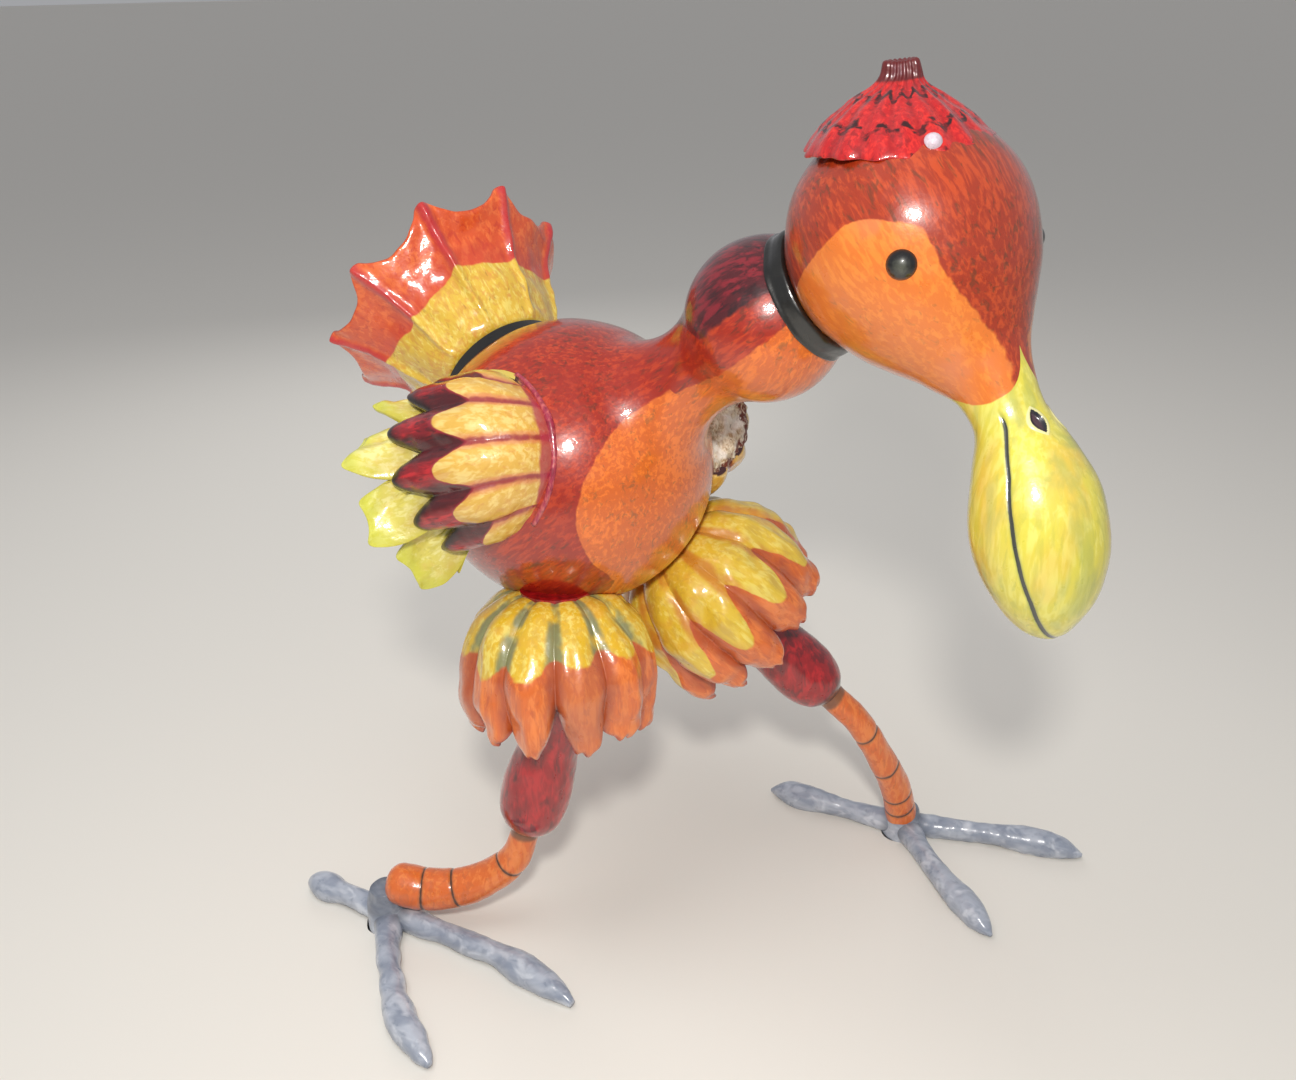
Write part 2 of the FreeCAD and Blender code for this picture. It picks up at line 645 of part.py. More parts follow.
def main():
    os.makedirs("parts", exist_ok=True)
    save("body_gourd", body_gourd())
    save("neck_collar", neck_collar())
    save("neck_plug", neck_plug())
    save("neck_peg", neck_peg())
    save("head_gourd", head_gourd())
    save("head_plug", head_plug())
    save("right_eye", eye_bead(-1))
    save("left_eye", eye_bead(1))
    save("hat", hat())
    save("hat_glue", hat_glue())
    save("tail_collar", tail_collar())
    save("tail_gourd", tail_gourd())
    save("tail_hub", tail_hub())
    save("tail_peg", tail_peg())
    save("tail_socket", tail_socket())
    cover = wing_cover()
    flare = wing_flare()
    save("right_wing_cover", cover)
    save("left_wing_cover", main_solid(mirror_left(open_front(cover)).cut(gourd_solid(0))))
    save("right_wing_flare", flare)
    save("left_wing_flare", main_solid(mirror_left(flare).cut(gourd_solid(0))))
    save("right_wing_putty", wing_putty(cover))
    save("left_wing_putty", main_solid(mirror_left(wing_putty(cover)).cut(gourd_solid(0))))
    washer_start = LEG_BLOCK_START - WASHER_THICK - 0.1
    save("leg_washers", leg_fasteners(WASHER_R, washer_start, WASHER_THICK))
    save("leg_nuts", leg_fasteners(NUT_R, washer_start - NUT_THICK - 0.1, NUT_THICK, 6))
    for side in SIDES:
        save(side + "_ruff", ruff(side))
        save(side + "_hip_filler", hip_filler(side))
        save(side + "_drumstick", drumstick(side))
        save(side + "_shank", shank(side))
        save(side + "_leg_rod", leg_rod(side))
        save(side + "_leg_block", leg_block(side))
        save(side + "_foot_hub", foot_hub(side))
        save(side + "_foot_wires", foot_wires(side))
        for name in TOE_TIPS[side]:
            save(side + "_" + name + "_toe", toe(side, name))


main()
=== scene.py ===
import json
import math

import bmesh
import bpy
import numpy as np
from mathutils import Matrix, Vector


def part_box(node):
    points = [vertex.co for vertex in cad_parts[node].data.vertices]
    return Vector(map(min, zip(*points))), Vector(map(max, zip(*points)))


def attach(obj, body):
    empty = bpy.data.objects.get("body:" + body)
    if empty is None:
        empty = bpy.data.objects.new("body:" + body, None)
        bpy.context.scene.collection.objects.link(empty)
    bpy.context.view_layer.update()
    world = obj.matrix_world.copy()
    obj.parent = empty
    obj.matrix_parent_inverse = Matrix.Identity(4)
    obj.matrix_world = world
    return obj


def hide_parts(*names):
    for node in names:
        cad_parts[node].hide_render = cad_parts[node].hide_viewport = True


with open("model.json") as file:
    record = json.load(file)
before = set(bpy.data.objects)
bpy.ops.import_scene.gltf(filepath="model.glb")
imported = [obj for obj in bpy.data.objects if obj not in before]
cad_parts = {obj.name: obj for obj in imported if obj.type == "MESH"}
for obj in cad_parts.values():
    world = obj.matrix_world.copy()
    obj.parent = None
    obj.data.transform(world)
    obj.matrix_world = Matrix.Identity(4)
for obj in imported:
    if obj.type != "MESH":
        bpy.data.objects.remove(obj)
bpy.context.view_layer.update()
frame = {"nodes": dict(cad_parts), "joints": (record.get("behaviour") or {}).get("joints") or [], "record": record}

# A gourd bird, painted by hand and varnished.  Shapes are worked out in millimetres in the frame's
# axes and written to the meshes in metres.  Painted areas are drawn by numbers held on the vertices
# (how far inside a patch a point is, how far along a finger it is), which the materials read.
MM = 0.001
RIGHT_LEFT = ("right", "left")


# ---- places, taken from the frame ---------------------------------------------------------------
def box_mm(node):
    low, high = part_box(node)
    return np.array(low) / MM, np.array(high) / MM


def unit(vector):
    vector = np.asarray(vector, float)
    return vector / np.linalg.norm(vector)


def heading(azimuth, elevation=0.0):
    a = math.radians(azimuth)
    e = math.radians(elevation)
    return np.array([math.cos(e) * math.cos(a), math.cos(e) * math.sin(a), math.sin(e)])


UP = np.array([0.0, 0.0, 1.0])
JOINTS = {joint["name"]: joint for joint in frame["joints"]}
BODY_LOW, BODY_HIGH = box_mm("body_gourd")
BELLY_R = (BODY_HIGH[1] - BODY_LOW[1]) / 2
BELLY = np.array([BODY_LOW[0] + BELLY_R, (BODY_LOW[1] + BODY_HIGH[1]) / 2, BODY_LOW[2] + BELLY_R])
UNDER_BELLY = BELLY * [1, 1, 0]
HEAD = np.array(JOINTS["head_turn"]["pos_m"]) / MM
NECK_WAY = unit(JOINTS["head_turn"]["axis"])
TAIL_WAY = unit(JOINTS["tail_lift"]["axis"])
HEAD_DISTANCE = 85.4
BULB = HEAD - NECK_WAY * HEAD_DISTANCE
BULB_DISTANCE = np.linalg.norm(BULB - BELLY)
BULB_WAY = unit(BULB - BELLY)
BULB_R = 42.0
WAIST_FILLET = 44.0
NECK_CUT = 28.0
NECK_FACE = BULB + NECK_WAY * NECK_CUT
FACING = -18.0
HEAD_R = 58.0
HEAD_YAW = -23.5
HEAD_OUT = heading(HEAD_YAW)
HEAD_SIDE = heading(HEAD_YAW + 90)
PEG_HOLE = 6.1
TAIL_PEG_HOLE = 5.1
LEFT_WING_DROP = -9.0
LEFT_WING_SAG = -6.0
SKIN_GAP = 0.1


def spot(x, y, z):
    """A place given from the floor point under the middle of the belly."""
    return UNDER_BELLY + np.array([x, y, z], float)


# ---- shared shape tools -------------------------------------------------------------------------
def lumps(points, size, seed):
    """Smooth bumpiness from about -1 to 1, with bumps of this size, at each point."""
    random = np.random.default_rng(seed)
    total = np.zeros(points.shape[:-1])
    waves = 9
    for _ in range(waves):
        way = unit(random.normal(size=3))
        wavelength = size * random.uniform(1.4, 3.2)
        total += np.sin(points @ way * (2 * math.pi / wavelength) + random.uniform(0, 2 * math.pi))
    return total / math.sqrt(waves)


def flowing(points, count):
    """Evenly spaced points on a smooth curve through the given ones."""
    points = np.asarray(points, float)
    chord = np.concatenate([[0], np.cumsum(np.linalg.norm(np.diff(points, axis=0), axis=1))])
    slopes = np.gradient(points, chord, axis=0)
    fine = np.linspace(0, chord[-1], 1500)
    piece = np.clip(np.searchsorted(chord, fine, side="right") - 1, 0, len(points) - 2)
    gap = (chord[piece + 1] - chord[piece])[:, None]
    t = ((fine - chord[piece]) / (chord[piece + 1] - chord[piece]))[:, None]
    curve = ((2 * t ** 3 - 3 * t ** 2 + 1) * points[piece] + (t ** 3 - 2 * t ** 2 + t) * gap * slopes[piece]
             + (3 * t ** 2 - 2 * t ** 3) * points[piece + 1] + (t ** 3 - t ** 2) * gap * slopes[piece + 1])
    run = np.concatenate([[0], np.cumsum(np.linalg.norm(np.diff(curve, axis=0), axis=1))])
    even = np.linspace(0, run[-1], count)
    return np.stack([np.interp(even, run, curve[:, i]) for i in range(points.shape[1])], 1)


def smooth_step(value):
    value = np.clip(value, 0, 1)
    return value * value * (3 - 2 * value)


def soft_least(*distances, softness=4.0):
    """The smallest of several distances, with its corners rounded."""
    total = sum(np.exp(np.clip(-d / softness, -60, 60)) for d in distances)
    return -softness * np.log(total)


def pushed_out(points, centre, radius):
    """The points, with those inside a round body moved out to just over its surface."""
    radius = radius + SKIN_GAP
    away = points - centre
    size = np.linalg.norm(away, axis=-1)[..., None]
    return np.where(size < radius, centre + away / size * radius, points)


def turned_down(points, degrees):
    """The points turned round the belly about the way that the bird faces."""
    turn = Matrix.Rotation(math.radians(degrees), 3, Vector(heading(FACING)))
    return BELLY + (points - BELLY) @ np.array(turn).T


def mirrored(points):
    """The same wing points on the bird's left side, where the wing sits lower on the belly."""
    across = heading(FACING + 90)
    points = points - 2 * ((points - UNDER_BELLY) @ across)[..., None] * across
    return turned_down(points, LEFT_WING_DROP)


def grid_piece(name, points, values=None, loop_u=False, loop_v=False, flip=False, caps=False):
    """A mesh over a grid of points, with named values on its vertices."""
    rows, columns = points.shape[:2]
    index = np.arange(rows * columns).reshape(rows, columns)
    ring = index
    if loop_u:
        index = np.vstack([index, index[:1]])
    if loop_v:
        index = np.hstack([index, index[:, :1]])
    quads = np.stack([index[:-1, :-1], index[1:, :-1], index[1:, 1:], index[:-1, 1:]], -1).reshape(-1, 4)
    faces = quads.tolist()
    if caps:
        faces += [ring[0].tolist(), ring[-1][::-1].tolist()]
    if flip:
        faces = [face[::-1] for face in faces]
    mesh = bpy.data.meshes.new(name)
    mesh.from_pydata((points.reshape(-1, 3) * MM).tolist(), [], faces)
    for key, value in (values or {}).items():
        layer = mesh.attributes.new(key, "FLOAT", "POINT")
        layer.data.foreach_set("value", np.broadcast_to(value, (rows, columns)).astype(np.float32).ravel())
    mesh.update()
    mesh.shade_smooth()
    piece = bpy.data.objects.new(name, mesh)
    bpy.context.scene.collection.objects.link(piece)
    return piece


def place(piece, body, slot, material, *nodes):
    """Give a finished piece its material and body; it stands for the named nodes."""
    piece.data.materials.clear()
    piece.data.materials.append(material)
    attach(piece, body)
    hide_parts(*nodes)
    return piece


def edit(piece, change):
    """Run a change on the piece's mesh."""
    mesh = bmesh.new()
    mesh.from_mesh(piece.data)
    change(mesh)
    mesh.normal_update()
    mesh.to_mesh(piece.data)
    mesh.free()
    piece.data.shade_smooth()


def punch(piece, centre, way, radius, depth, reach):
    """Cut a round hole of this depth in the skin near centre, along way."""
    centre = Vector(centre * MM)
    way = Vector(way)
    radius = radius * MM

    def change(mesh):
        inside = []
        for vertex in mesh.verts:
            away = vertex.co - centre
            flat = away - way * away.dot(way)
            if flat.length < radius and away.length < reach * MM:
                inside.append(vertex)
        bmesh.ops.delete(mesh, geom=inside, context="VERTS")
        edges = [edge for edge in mesh.edges if edge.is_boundary
                 and (edge.verts[0].co - centre).length < reach * MM]
        for vertex in {vertex for edge in edges for vertex in edge.verts}:
            away = vertex.co - centre
            flat = away - way * away.dot(way)
            vertex.co += flat.normalized() * radius - flat
        made = bmesh.ops.extrude_edge_only(mesh, edges=edges)
        for item in made["geom"]:
            if isinstance(item, bmesh.types.BMVert):
                item.co += way * depth * MM
    edit(piece, change)


def ring_frames(line, side):
    """Two crossing directions at each point of a line, square to it."""
    tangent = np.gradient(line, axis=0)
    tangent /= np.linalg.norm(tangent, axis=1)[:, None]
    across = np.cross(tangent, side)
    across /= np.linalg.norm(across, axis=1)[:, None]
    return across, np.cross(across, tangent)


def limb(points, radii, rings, around, roughness, seed, side=(0.3, 1, 0), shape=None):
    """A lumpy tapering tube; shape may change its radii and add values."""
    line = flowing(points, rings)
    share = np.linspace(0, 1, rings)
    if np.ndim(radii) == 1:
        radii = np.stack([np.linspace(0, 1, len(radii)), radii], 1)
    radius = flowing(np.asarray(radii) * [100, 1], 400)
    radius = np.interp(share * 100, radius[:, 0], radius[:, 1])[:, None]
    across, over = ring_frames(line, np.array(side, float))
    angle = np.linspace(0, 2 * math.pi, around, endpoint=False)
    way = across[:, None] * np.cos(angle)[None, :, None] + over[:, None] * np.sin(angle)[None, :, None]
    length = np.concatenate([[0], np.cumsum(np.linalg.norm(np.diff(line, axis=0), axis=1))])[:, None]
    values = {"share": share[:, None]}
    radius = np.broadcast_to(radius, (rings, around)).copy()
    rough = line[:, None] + way * radius[..., None]
    radius += roughness * lumps(rough, 14.0, seed) + 0.3 * roughness * lumps(rough, 5.0, seed + 1)
    if shape:
        radius = shape(radius, length, angle, values)
    points = line[:, None] + way * radius[..., None]
    return points, values


# ---- painted materials --------------------------------------------------------------------------
def tint(code):
    """Linear colour from a six-figure screen colour."""
    parts = [int(code[i:i + 2], 16) / 255 for i in (0, 2, 4)]
    return [p / 12.92 if p <= 0.04045 else ((p + 0.055) / 1.055) ** 2.4 for p in parts] + [1.0]


FINE_GRAIN = 0.6
ROUGHNESS_RANGE = (0.26, 0.42)


class Paint:
    """One painted material, with short calls for the nodes that it needs."""

    def __init__(self, name, coat=1.0, coat_roughness=0.07):
        self.material = bpy.data.materials.new(name)
        self.material.use_nodes = True
        self.tree = self.material.node_tree
        self.shader = self.tree.nodes["Principled BSDF"]
        self.shader.inputs["Coat Weight"].default_value = coat
        self.shader.inputs["Coat Roughness"].default_value = coat_roughness
        self.coords = self.tree.nodes.new("ShaderNodeTexCoord").outputs["Object"]

    def node(self, kind, inputs, **settings):
        made = self.tree.nodes.new("ShaderNode" + kind)
        for key, value in settings.items():
            setattr(made, key, value)
        for key, value in inputs.items():
            if isinstance(value, bpy.types.NodeSocket):
                self.tree.links.new(value, made.inputs[key])
            else:
                made.inputs[key].default_value = value
        return made

    def value(self, name):
        return self.node("Attribute", {}, attribute_name=name).outputs["Fac"]

    def math(self, operation, a, b=0.0, c=0.0):
        return self.node("Math", {0: a, 1: b, 2: c}, operation=operation).outputs[0]

    def noise(self, size, detail=3.0, way=None, stretch=1.0, roughness=0.55, swirl=0.0):
        """Noise with features of this size in mm, drawn out along way."""
        turn = Vector(way if way is not None else (1, 0, 0)).to_track_quat("X", "Z").to_euler()
        scale = (size * MM * stretch, size * MM, size * MM)
        placed = self.node("Mapping", {"Vector": self.coords, "Rotation": turn, "Scale": scale},
                           vector_type="TEXTURE").outputs[0]
        return self.node("TexNoise", {"Vector": placed, "Scale": 1.0, "Detail": detail,
                                      "Roughness": roughness, "Distortion": swirl}).outputs["Fac"]

    def step(self, value, edge, soft):
        """0 below the edge and 1 above it, softly."""
        return self.node("MapRange", {"Value": value, "From Min": edge - soft, "From Max": edge + soft},
                         interpolation_type="SMOOTHSTEP").outputs[0]

    def mix(self, share, a, b):
        """From a to b by share; either may be a colour code."""
        a = tint(a) if isinstance(a, str) else a
        b = tint(b) if isinstance(b, str) else b
        return self.node("Mix", {0: share, 6: a, 7: b}, data_type="RGBA").outputs[2]

    def over(self, colour, share, code, strength):
        """The colour code over a colour, by share and strength."""
        return self.mix(self.math("MULTIPLY", share, strength), colour, code)

    def wobbly(self, name, amount, size=6.0):
        """A value of the mesh with an uneven hand-painted edge."""
        uneven = self.math("SUBTRACT", self.noise(size, 2.0), 0.5)
        return self.math("MULTIPLY_ADD", uneven, amount, self.value(name))

    def patch(self, name, edge, soft, amount, size=6.0):
        """0 where the mesh value is below the edge and 1 above it, with an uneven border."""
        return self.step(self.wobbly(name, amount, size), edge, soft)

    def stain(self, colour, code, strength, edge, soft, *noise):
        """Cloudy spots of a colour where noise is above the edge."""
        return self.over(colour, self.step(self.noise(*noise), edge, soft), code, strength)

    def area(self, colour, code, strength, *patch):
        """A colour over the part of the mesh that patch marks."""
        return self.over(colour, self.patch(*patch), code, strength)

    def strokes(self, base, light, dark, way, size=1.5, stretch=5.0, share=0.5, sparse=0.0):
        """Short dabs of a lighter and a darker colour over a base."""
        first = self.noise(size, 2.5, way, stretch, 0.6, 0.4)
        second = self.noise(size * 1.25, 2.5, way, stretch * 0.8, 0.6, 0.6)
        broad = self.noise(size * 14, 2.0)
        colour = self.mix(self.step(self.math("MULTIPLY_ADD", broad, 0.35, first), 0.72, 0.10), base, light)
        darker = self.step(self.math("MULTIPLY_ADD", broad, -0.30, second), 0.44 + sparse, 0.07)
        return self.mix(self.math("MULTIPLY", darker, share), colour, dark)

    def finish(self, colour, bump, size):
        """Wire the colour and the uneven varnish, and return the material."""
        self.tree.links.new(colour, self.shader.inputs["Base Color"])
        uneven = self.noise(size, 2.0)
        small = self.noise(FINE_GRAIN, 2.0)
        height = self.math("MULTIPLY_ADD", small, 0.18, uneven)
        bumped = self.node("Bump", {"Strength": bump, "Distance": 0.5 * MM, "Height": height}).outputs[0]
        self.tree.links.new(bumped, self.shader.inputs["Normal"])
        self.tree.links.new(bumped, self.shader.inputs["Coat Normal"])
        blotch = self.step(self.noise(9.0, 3.0), 0.5, 0.25)
        rough = self.node("MapRange", {"Value": blotch, "To Min": ROUGHNESS_RANGE[0],
                                      "To Max": ROUGHNESS_RANGE[1]}).outputs[0]
        self.tree.links.new(rough, self.shader.inputs["Roughness"])
        return self.material


def body_paint():
    """Vermilion with orange breast, and maroon on top of the neck."""
    paint = Paint("body_paint")
    red = paint.strokes("9c220c", "bd3a12", "522514", BULB_WAY, 2.4, 4.5, 0.62, 0.02)
    shade = paint.noise(45, 2.0)
    red = paint.over(red, paint.step(shade, 0.58, 0.12), "961d0c", 0.5)
    orange = paint.strokes("cf6220", "e87828", "86552c", unit([1, -0.5, 0.9]), 2.6, 4.0, 0.6, 0.05)
    maroon = paint.strokes("4a0812", "7d1220", "1c0309", BULB_WAY, 3.4, 4.5, 0.7)
    olive = paint.math("MULTIPLY", paint.step(paint.value("seat"), 0.35, 0.45), 0.45)
    red = paint.mix(olive, red, "7a4a14")
    colour = paint.mix(paint.patch("breast", 0.0, 0.5, 3.0), red, orange)
    colour = paint.mix(paint.patch("maroon", 0.0, 1.2, 4.0), colour, maroon)
    return paint.finish(colour, 0.24, 3.4)


def head_paint():
    """Red crown, orange cheeks and a yellow beak with a drawn mouth and nostrils."""
    paint = Paint("head_paint")
    flow = unit(HEAD_OUT - UP)
    red = paint.strokes("9a270d", "ba3f15", "552a15", flow, 2.3, 4.5, 0.62, 0.02)
    cheek = paint.strokes("dc7226", "e9842e", "8f5e30", flow, 2.6, 4.0, 0.4, 0.09)
    cheek = paint.stain(cheek, "d07a5a", 0.35, 0.60, 0.10, 24, 2.0)
    colour = paint.mix(paint.patch("cheek", 0.0, 0.45, 2.4), red, cheek)
    yellow = paint.strokes("dcd04a", "e8df6c", "bdbb48", unit(-UP), 3.6, 6.0, 0.5)
    yellow = paint.stain(yellow, "e3b04c", 0.5, 0.55, 0.12, 22, 2.0, -UP, 2.0)
    yellow = paint.stain(yellow, "a2ac5c", 0.5, 0.58, 0.10, 14, 2.5, -UP, 3.0, 0.6, 0.5)
    colour = paint.mix(paint.patch("beak", 0.0, 0.35, 1.6), colour, yellow)
    halo = paint.step(paint.value("mouth"), 0.22, 0.30)
    colour = paint.over(colour, halo, "8f9a4e", 0.55)
    line = paint.patch("mouth", 0.58, 0.14, 0.22, 3.0)
    colour = paint.mix(line, colour, "3a3d36")
    pale = paint.step(paint.value("nostril"), -0.55, 0.10)
    colour = paint.over(colour, pale, "e6e2b0", 0.7)
    hole = paint.mix(paint.step(paint.value("nostril"), 0.45, 0.3), "1a1e26", "47303a")
    colour = paint.mix(paint.step(paint.value("nostril"), 0.0, 0.06), colour, hole)
    return paint.finish(colour, 0.20, 3.0)


def hat_paint():
    """Crimson flutes with dark wavy rings and a maroon stem, and painted shade in the grooves."""
    paint = Paint("hat_paint")
    colour = paint.strokes("b41014", "d0241c", "6c080e", UP, 2.0, 4.0, 0.5)
    wave = paint.wobbly("rings", 0.8, 7.0)
    band = paint.step(paint.math("SINE", paint.math("MULTIPLY", wave, 2 * math.pi)), 0.80, 0.15)
    broken = paint.step(paint.noise(4.0, 3.0, None, 2.0, 0.6, 0.8), 0.44, 0.10)
    colour = paint.over(colour, band, "30060a", broken)
    # Painted shade: darker crimson in the grooves between the flutes.
    colour = paint.area(colour, "7a0a12", 0.4, "groove", 0.85, 0.15, 0.3, 4.0)
    colour = paint.mix(paint.step(paint.value("stem"), 0.5, 0.3), colour, "5e1012")
    return paint.finish(colour, 0.40, 1.8)


def tail_paint():
    """Yellow base, then orange-red with crimson ridges."""
    paint = Paint("tail_paint")
    yellow = paint.strokes("e0b93e", "ecd468", "d08a34", TAIL_WAY, 2.6, 4.0, 0.5, -0.02)
    yellow = paint.stain(yellow, "dd8f3e", 0.45, 0.60, 0.06, 6.0, 3.0, UP, 2.0, 0.6, 1.2)
    yellow = paint.stain(yellow, "94642a", 0.4, 0.68, 0.04, 3.0, 2.0, TAIL_WAY, 7.0, 0.6, 0.5)
    red = paint.strokes("dc5522", "ec7034", "c0301c", TAIL_WAY, 3.4, 4.0, 0.6, 0.02)
    red = paint.area(red, "c02038", 0.75, "crest", 0.62, 0.25, 0.5, 7.0)
    low = paint.patch("dip", 0.10, 0.06, 0.12, 6.0)
    red = paint.mix(paint.math("MULTIPLY_ADD", low, -0.5, 0.5), red, "c8402e")
    colour = paint.mix(paint.patch("dip", 0.0, 0.006, 0.03, 12.0), yellow, red)
    colour = paint.mix(paint.value("inside"), colour, paint.strokes("a8320f", "c44a1a", "5c1c10", TAIL_WAY))
    return paint.finish(colour, 0.30, 2.0)


def cover_paint():
    """Yellow-orange ribs, pink-crimson grooves and crimson fingertips; painted shade darkens the fingers' sides
    and the inside.
    """
    paint = Paint("cover_paint")
    rib = paint.strokes("dcae4c", "ebcb78", "cf8f42", WING_WAY, 3.4, 4.5, 0.5)
    rib = paint.area(rib, "c8bc54", 0.7, "top", 0.5, 0.2, 0.3, 8.0)
    rib = paint.area(rib, "cf6f50", 0.7, "groove", 0.80, 0.16, 0.2, 8.0)
    rib = paint.area(rib, "8e1c34", 0.85, "groove", 0.95, 0.05, 0.14, 5.0)
    rib = paint.area(rib, "b0344a", 0.85, "front", 0.5, 0.2, 0.4, 6.0)
    tip = paint.strokes("8a0f1a", "bd2228", "470812", WING_WAY, 3.2, 4.0, 0.8)
    # Painted shade: each crimson finger is darkened towards its sides, next to the gaps, leaving a bright middle.
    dark = paint.step(paint.value("groove"), 0.42, 0.32)
    tip = paint.over(tip, dark, "35050d", 0.85)
    edge = paint.patch("rim", 0.93, 0.05, 0.06, 5.0)
    tip = paint.mix(edge, tip, "1d0408")
    seam = paint.math("ABSOLUTE", paint.wobbly("dip", 0.03, 6.0))
    tip = paint.mix(paint.math("MULTIPLY_ADD", paint.step(seam, 0.02, 0.015), -0.8, 0.8), tip, "9a2030")
    colour = paint.mix(paint.patch("dip", 0.0, 0.008, 0.03, 6.0), rib, tip)
    # Painted shade: the inside of the shell and the sawn front wall are near-black, standing in for the shade in
    # the gap.
    colour = paint.mix(paint.value("inside"), colour, "3a0a10")
    return paint.finish(colour, 0.30, 2.0)


def seam_paint():
    """Pink and crimson on the filler at a wing's front."""
    paint = Paint("seam_paint")
    return paint.finish(paint.strokes("a03048", "c05a5a", "6c1020", UP, 2.0, 3.0, 0.5), 0.3, 2.0)


def flare_paint():
    """Pale yellow with lime edges and cream tips."""
    paint = Paint("flare_paint", coat=0.7, coat_roughness=0.14)
    colour = paint.strokes("dccf62", "ebe294", "c4b64a", WING_WAY, 3.0, 4.0, 0.5)
    colour = paint.stain(colour, "deb45c", 0.45, 0.60, 0.10, 12, 2.0)
    colour = paint.area(colour, "cdd03c", 0.7, "rim", 0.88, 0.08, 0.12, 8.0)
    # Painted shade: ochre darkening in the grooves between the flare's fingers.
    shade = paint.step(paint.value("groove"), 0.55, 0.35)
    colour = paint.over(colour, shade, "b08a3a", 0.35)
    return paint.finish(colour, 0.30, 1.8)


def ruff_paint(name, way, rib_code, valley_code, valley_share):
    """Yellow ribs, coloured grooves and orange fingers below a scalloped line, with painted shade between the
    fingers.
    """
    paint = Paint(name)
    rib = paint.strokes(rib_code, "ecd668", "cfa83c", way, 3.2, 5.0, 0.5)
    rib = paint.stain(rib, "e0a03c", 0.45, 0.60, 0.10, 18, 2.0)
    valley = paint.patch("groove", 0.72, 0.18, 0.25, 8.0)
    patch = paint.step(paint.noise(16, 2.0), 0.42, 0.12)
    rib = paint.over(rib, paint.math("MULTIPLY", valley, patch), valley_code, valley_share)
    finger = paint.strokes("da6a26", "ea8038", "b8502a", way, 3.2, 4.5, 0.5)
    finger = paint.area(finger, "a8644a", 0.4, "chance", 0.66, 0.14, 0.5, 14.0)
    # Painted shade: the orange fingers darken towards the gaps between them.
    dark = paint.step(paint.value("groove"), 0.80, 0.18)
    finger = paint.over(finger, dark, "9a3a1c", 0.6)
    finger = paint.area(finger, "a82a1c", 0.5, "rim", 0.965, 0.02, 0.05, 5.0)
    colour = paint.mix(paint.patch("dip", 0.0, 0.010, 0.04, 7.0), rib, finger)
    colour = paint.mix(paint.value("inside"), colour, "8c3614")
    return paint.finish(colour, 0.30, 2.2)


def thigh_paint():
    """Crimson with dark streaks, browner at the knee."""
    paint = Paint("crimson_paint")
    colour = paint.strokes("980c14", "b9181e", "5c0812", UP, 4.5, 4.0, 0.7)
    colour = paint.stain(colour, "46060e", 0.5, 0.60, 0.10, 6.0, 2.5, UP, 5.0, 0.6, 0.4)
    ends = paint.step(paint.value("ends"), 0.5, 0.35)
    colour = paint.over(colour, ends, "3a1c14", 0.85)
    return paint.finish(colour, 0.22, 3.0)


def shank_paint():
    """Orange with dark rings drawn round it."""
    paint = Paint("shank_paint", coat=0.8, coat_roughness=0.15)
    colour = paint.strokes("dc6a28", "e8803a", "b85c30", UP, 3.4, 3.0, 0.4)
    colour = paint.area(colour, "5e4430", 0.8, "joint", 0.5, 0.3, 0.3, 6.0)
    colour = paint.area(colour, "94603c", 0.45, "ring", 0.30, 0.28, 0.3, 5.0)
    colour = paint.area(colour, "3c281c", 0.9, "ring", 0.78, 0.12, 0.5, 4.0)
    return paint.finish(colour, 0.30, 2.4)


def clay_paint():
    """Blue-grey with paler and darker streaks."""
    paint = Paint("clay_paint", coat=0.6, coat_roughness=0.18)
    streak = paint.noise(9.0, 2.5, None, 2.0, 0.55, 0.6)
    colour = paint.mix(paint.step(streak, 0.50, 0.16), "8e96a6", "b2b8c4")
    colour = paint.stain(colour, "6c7486", 0.45, 0.62, 0.12, 8.0, 2.5, None, 1.0, 0.6, 0.7)
    colour = paint.stain(colour, "d2d6de", 0.7, 0.62, 0.10, 10.0, 2.5, None, 1.6, 0.6, 0.6)
    joint = paint.step(paint.value("hub"), 0.5, 0.4)
    colour = paint.over(colour, joint, "454c5a", 0.6)
    return paint.finish(colour, 0.20, 3.0)


def enamel():
    """Black enamel."""
    paint = Paint("black_enamel", coat_roughness=0.05)
    colour = paint.mix(paint.noise(8.0, 2.0), "060607", "15140f")
    return paint.finish(colour, 0.25, 2.5)


def eye_glass():
    """Black bead with a paler middle."""
    paint = Paint("eye_glass", coat_roughness=0.03)
    cloudy = paint.math("MULTIPLY_ADD", paint.noise(1.6, 3.0), 0.6, paint.value("middle"))
    colour = paint.mix(paint.step(cloudy, 0.95, 0.35), "050608", "4c4e44")
    return paint.finish(colour, 0.06, 2.0)


def raw_flesh():
    """Unpainted gourd flesh: pale, dry and cracked."""
    paint = Paint("raw_flesh", coat=0.0)
    pale = paint.mix(paint.step(paint.noise(2.2, 4.0, UP, 2.5, 0.7, 0.8), 0.5, 0.15), "a88a66", "e8dcc4")
    pale = paint.stain(pale, "efeae2", 0.7, 0.56, 0.10, 9.0, 2.0)
    crack = paint.step(paint.noise(3.0, 4.0, UP, 2.0, 0.7, 1.5), 0.64, 0.03)
    colour = paint.mix(crack, pale, "5a3424")
    band = paint.patch("outer", 0.80, 0.05, 0.3, 4.0)
    dark = paint.step(paint.noise(2.6, 4.0, UP, 3.0, 0.7, 1.0), 0.46, 0.05)
    colour = paint.over(colour, band, "6a2a1c", dark)
    return paint.finish(colour, 0.9, 1.2)


def dried_glue():
    """Cloudy glue at the hat's rim."""
    paint = Paint("dried_glue", coat=0.8)
    colour = paint.mix(paint.noise(2.0, 3.0), "b09aa6", "e6dce6")
    return paint.finish(colour, 0.5, 1.5)


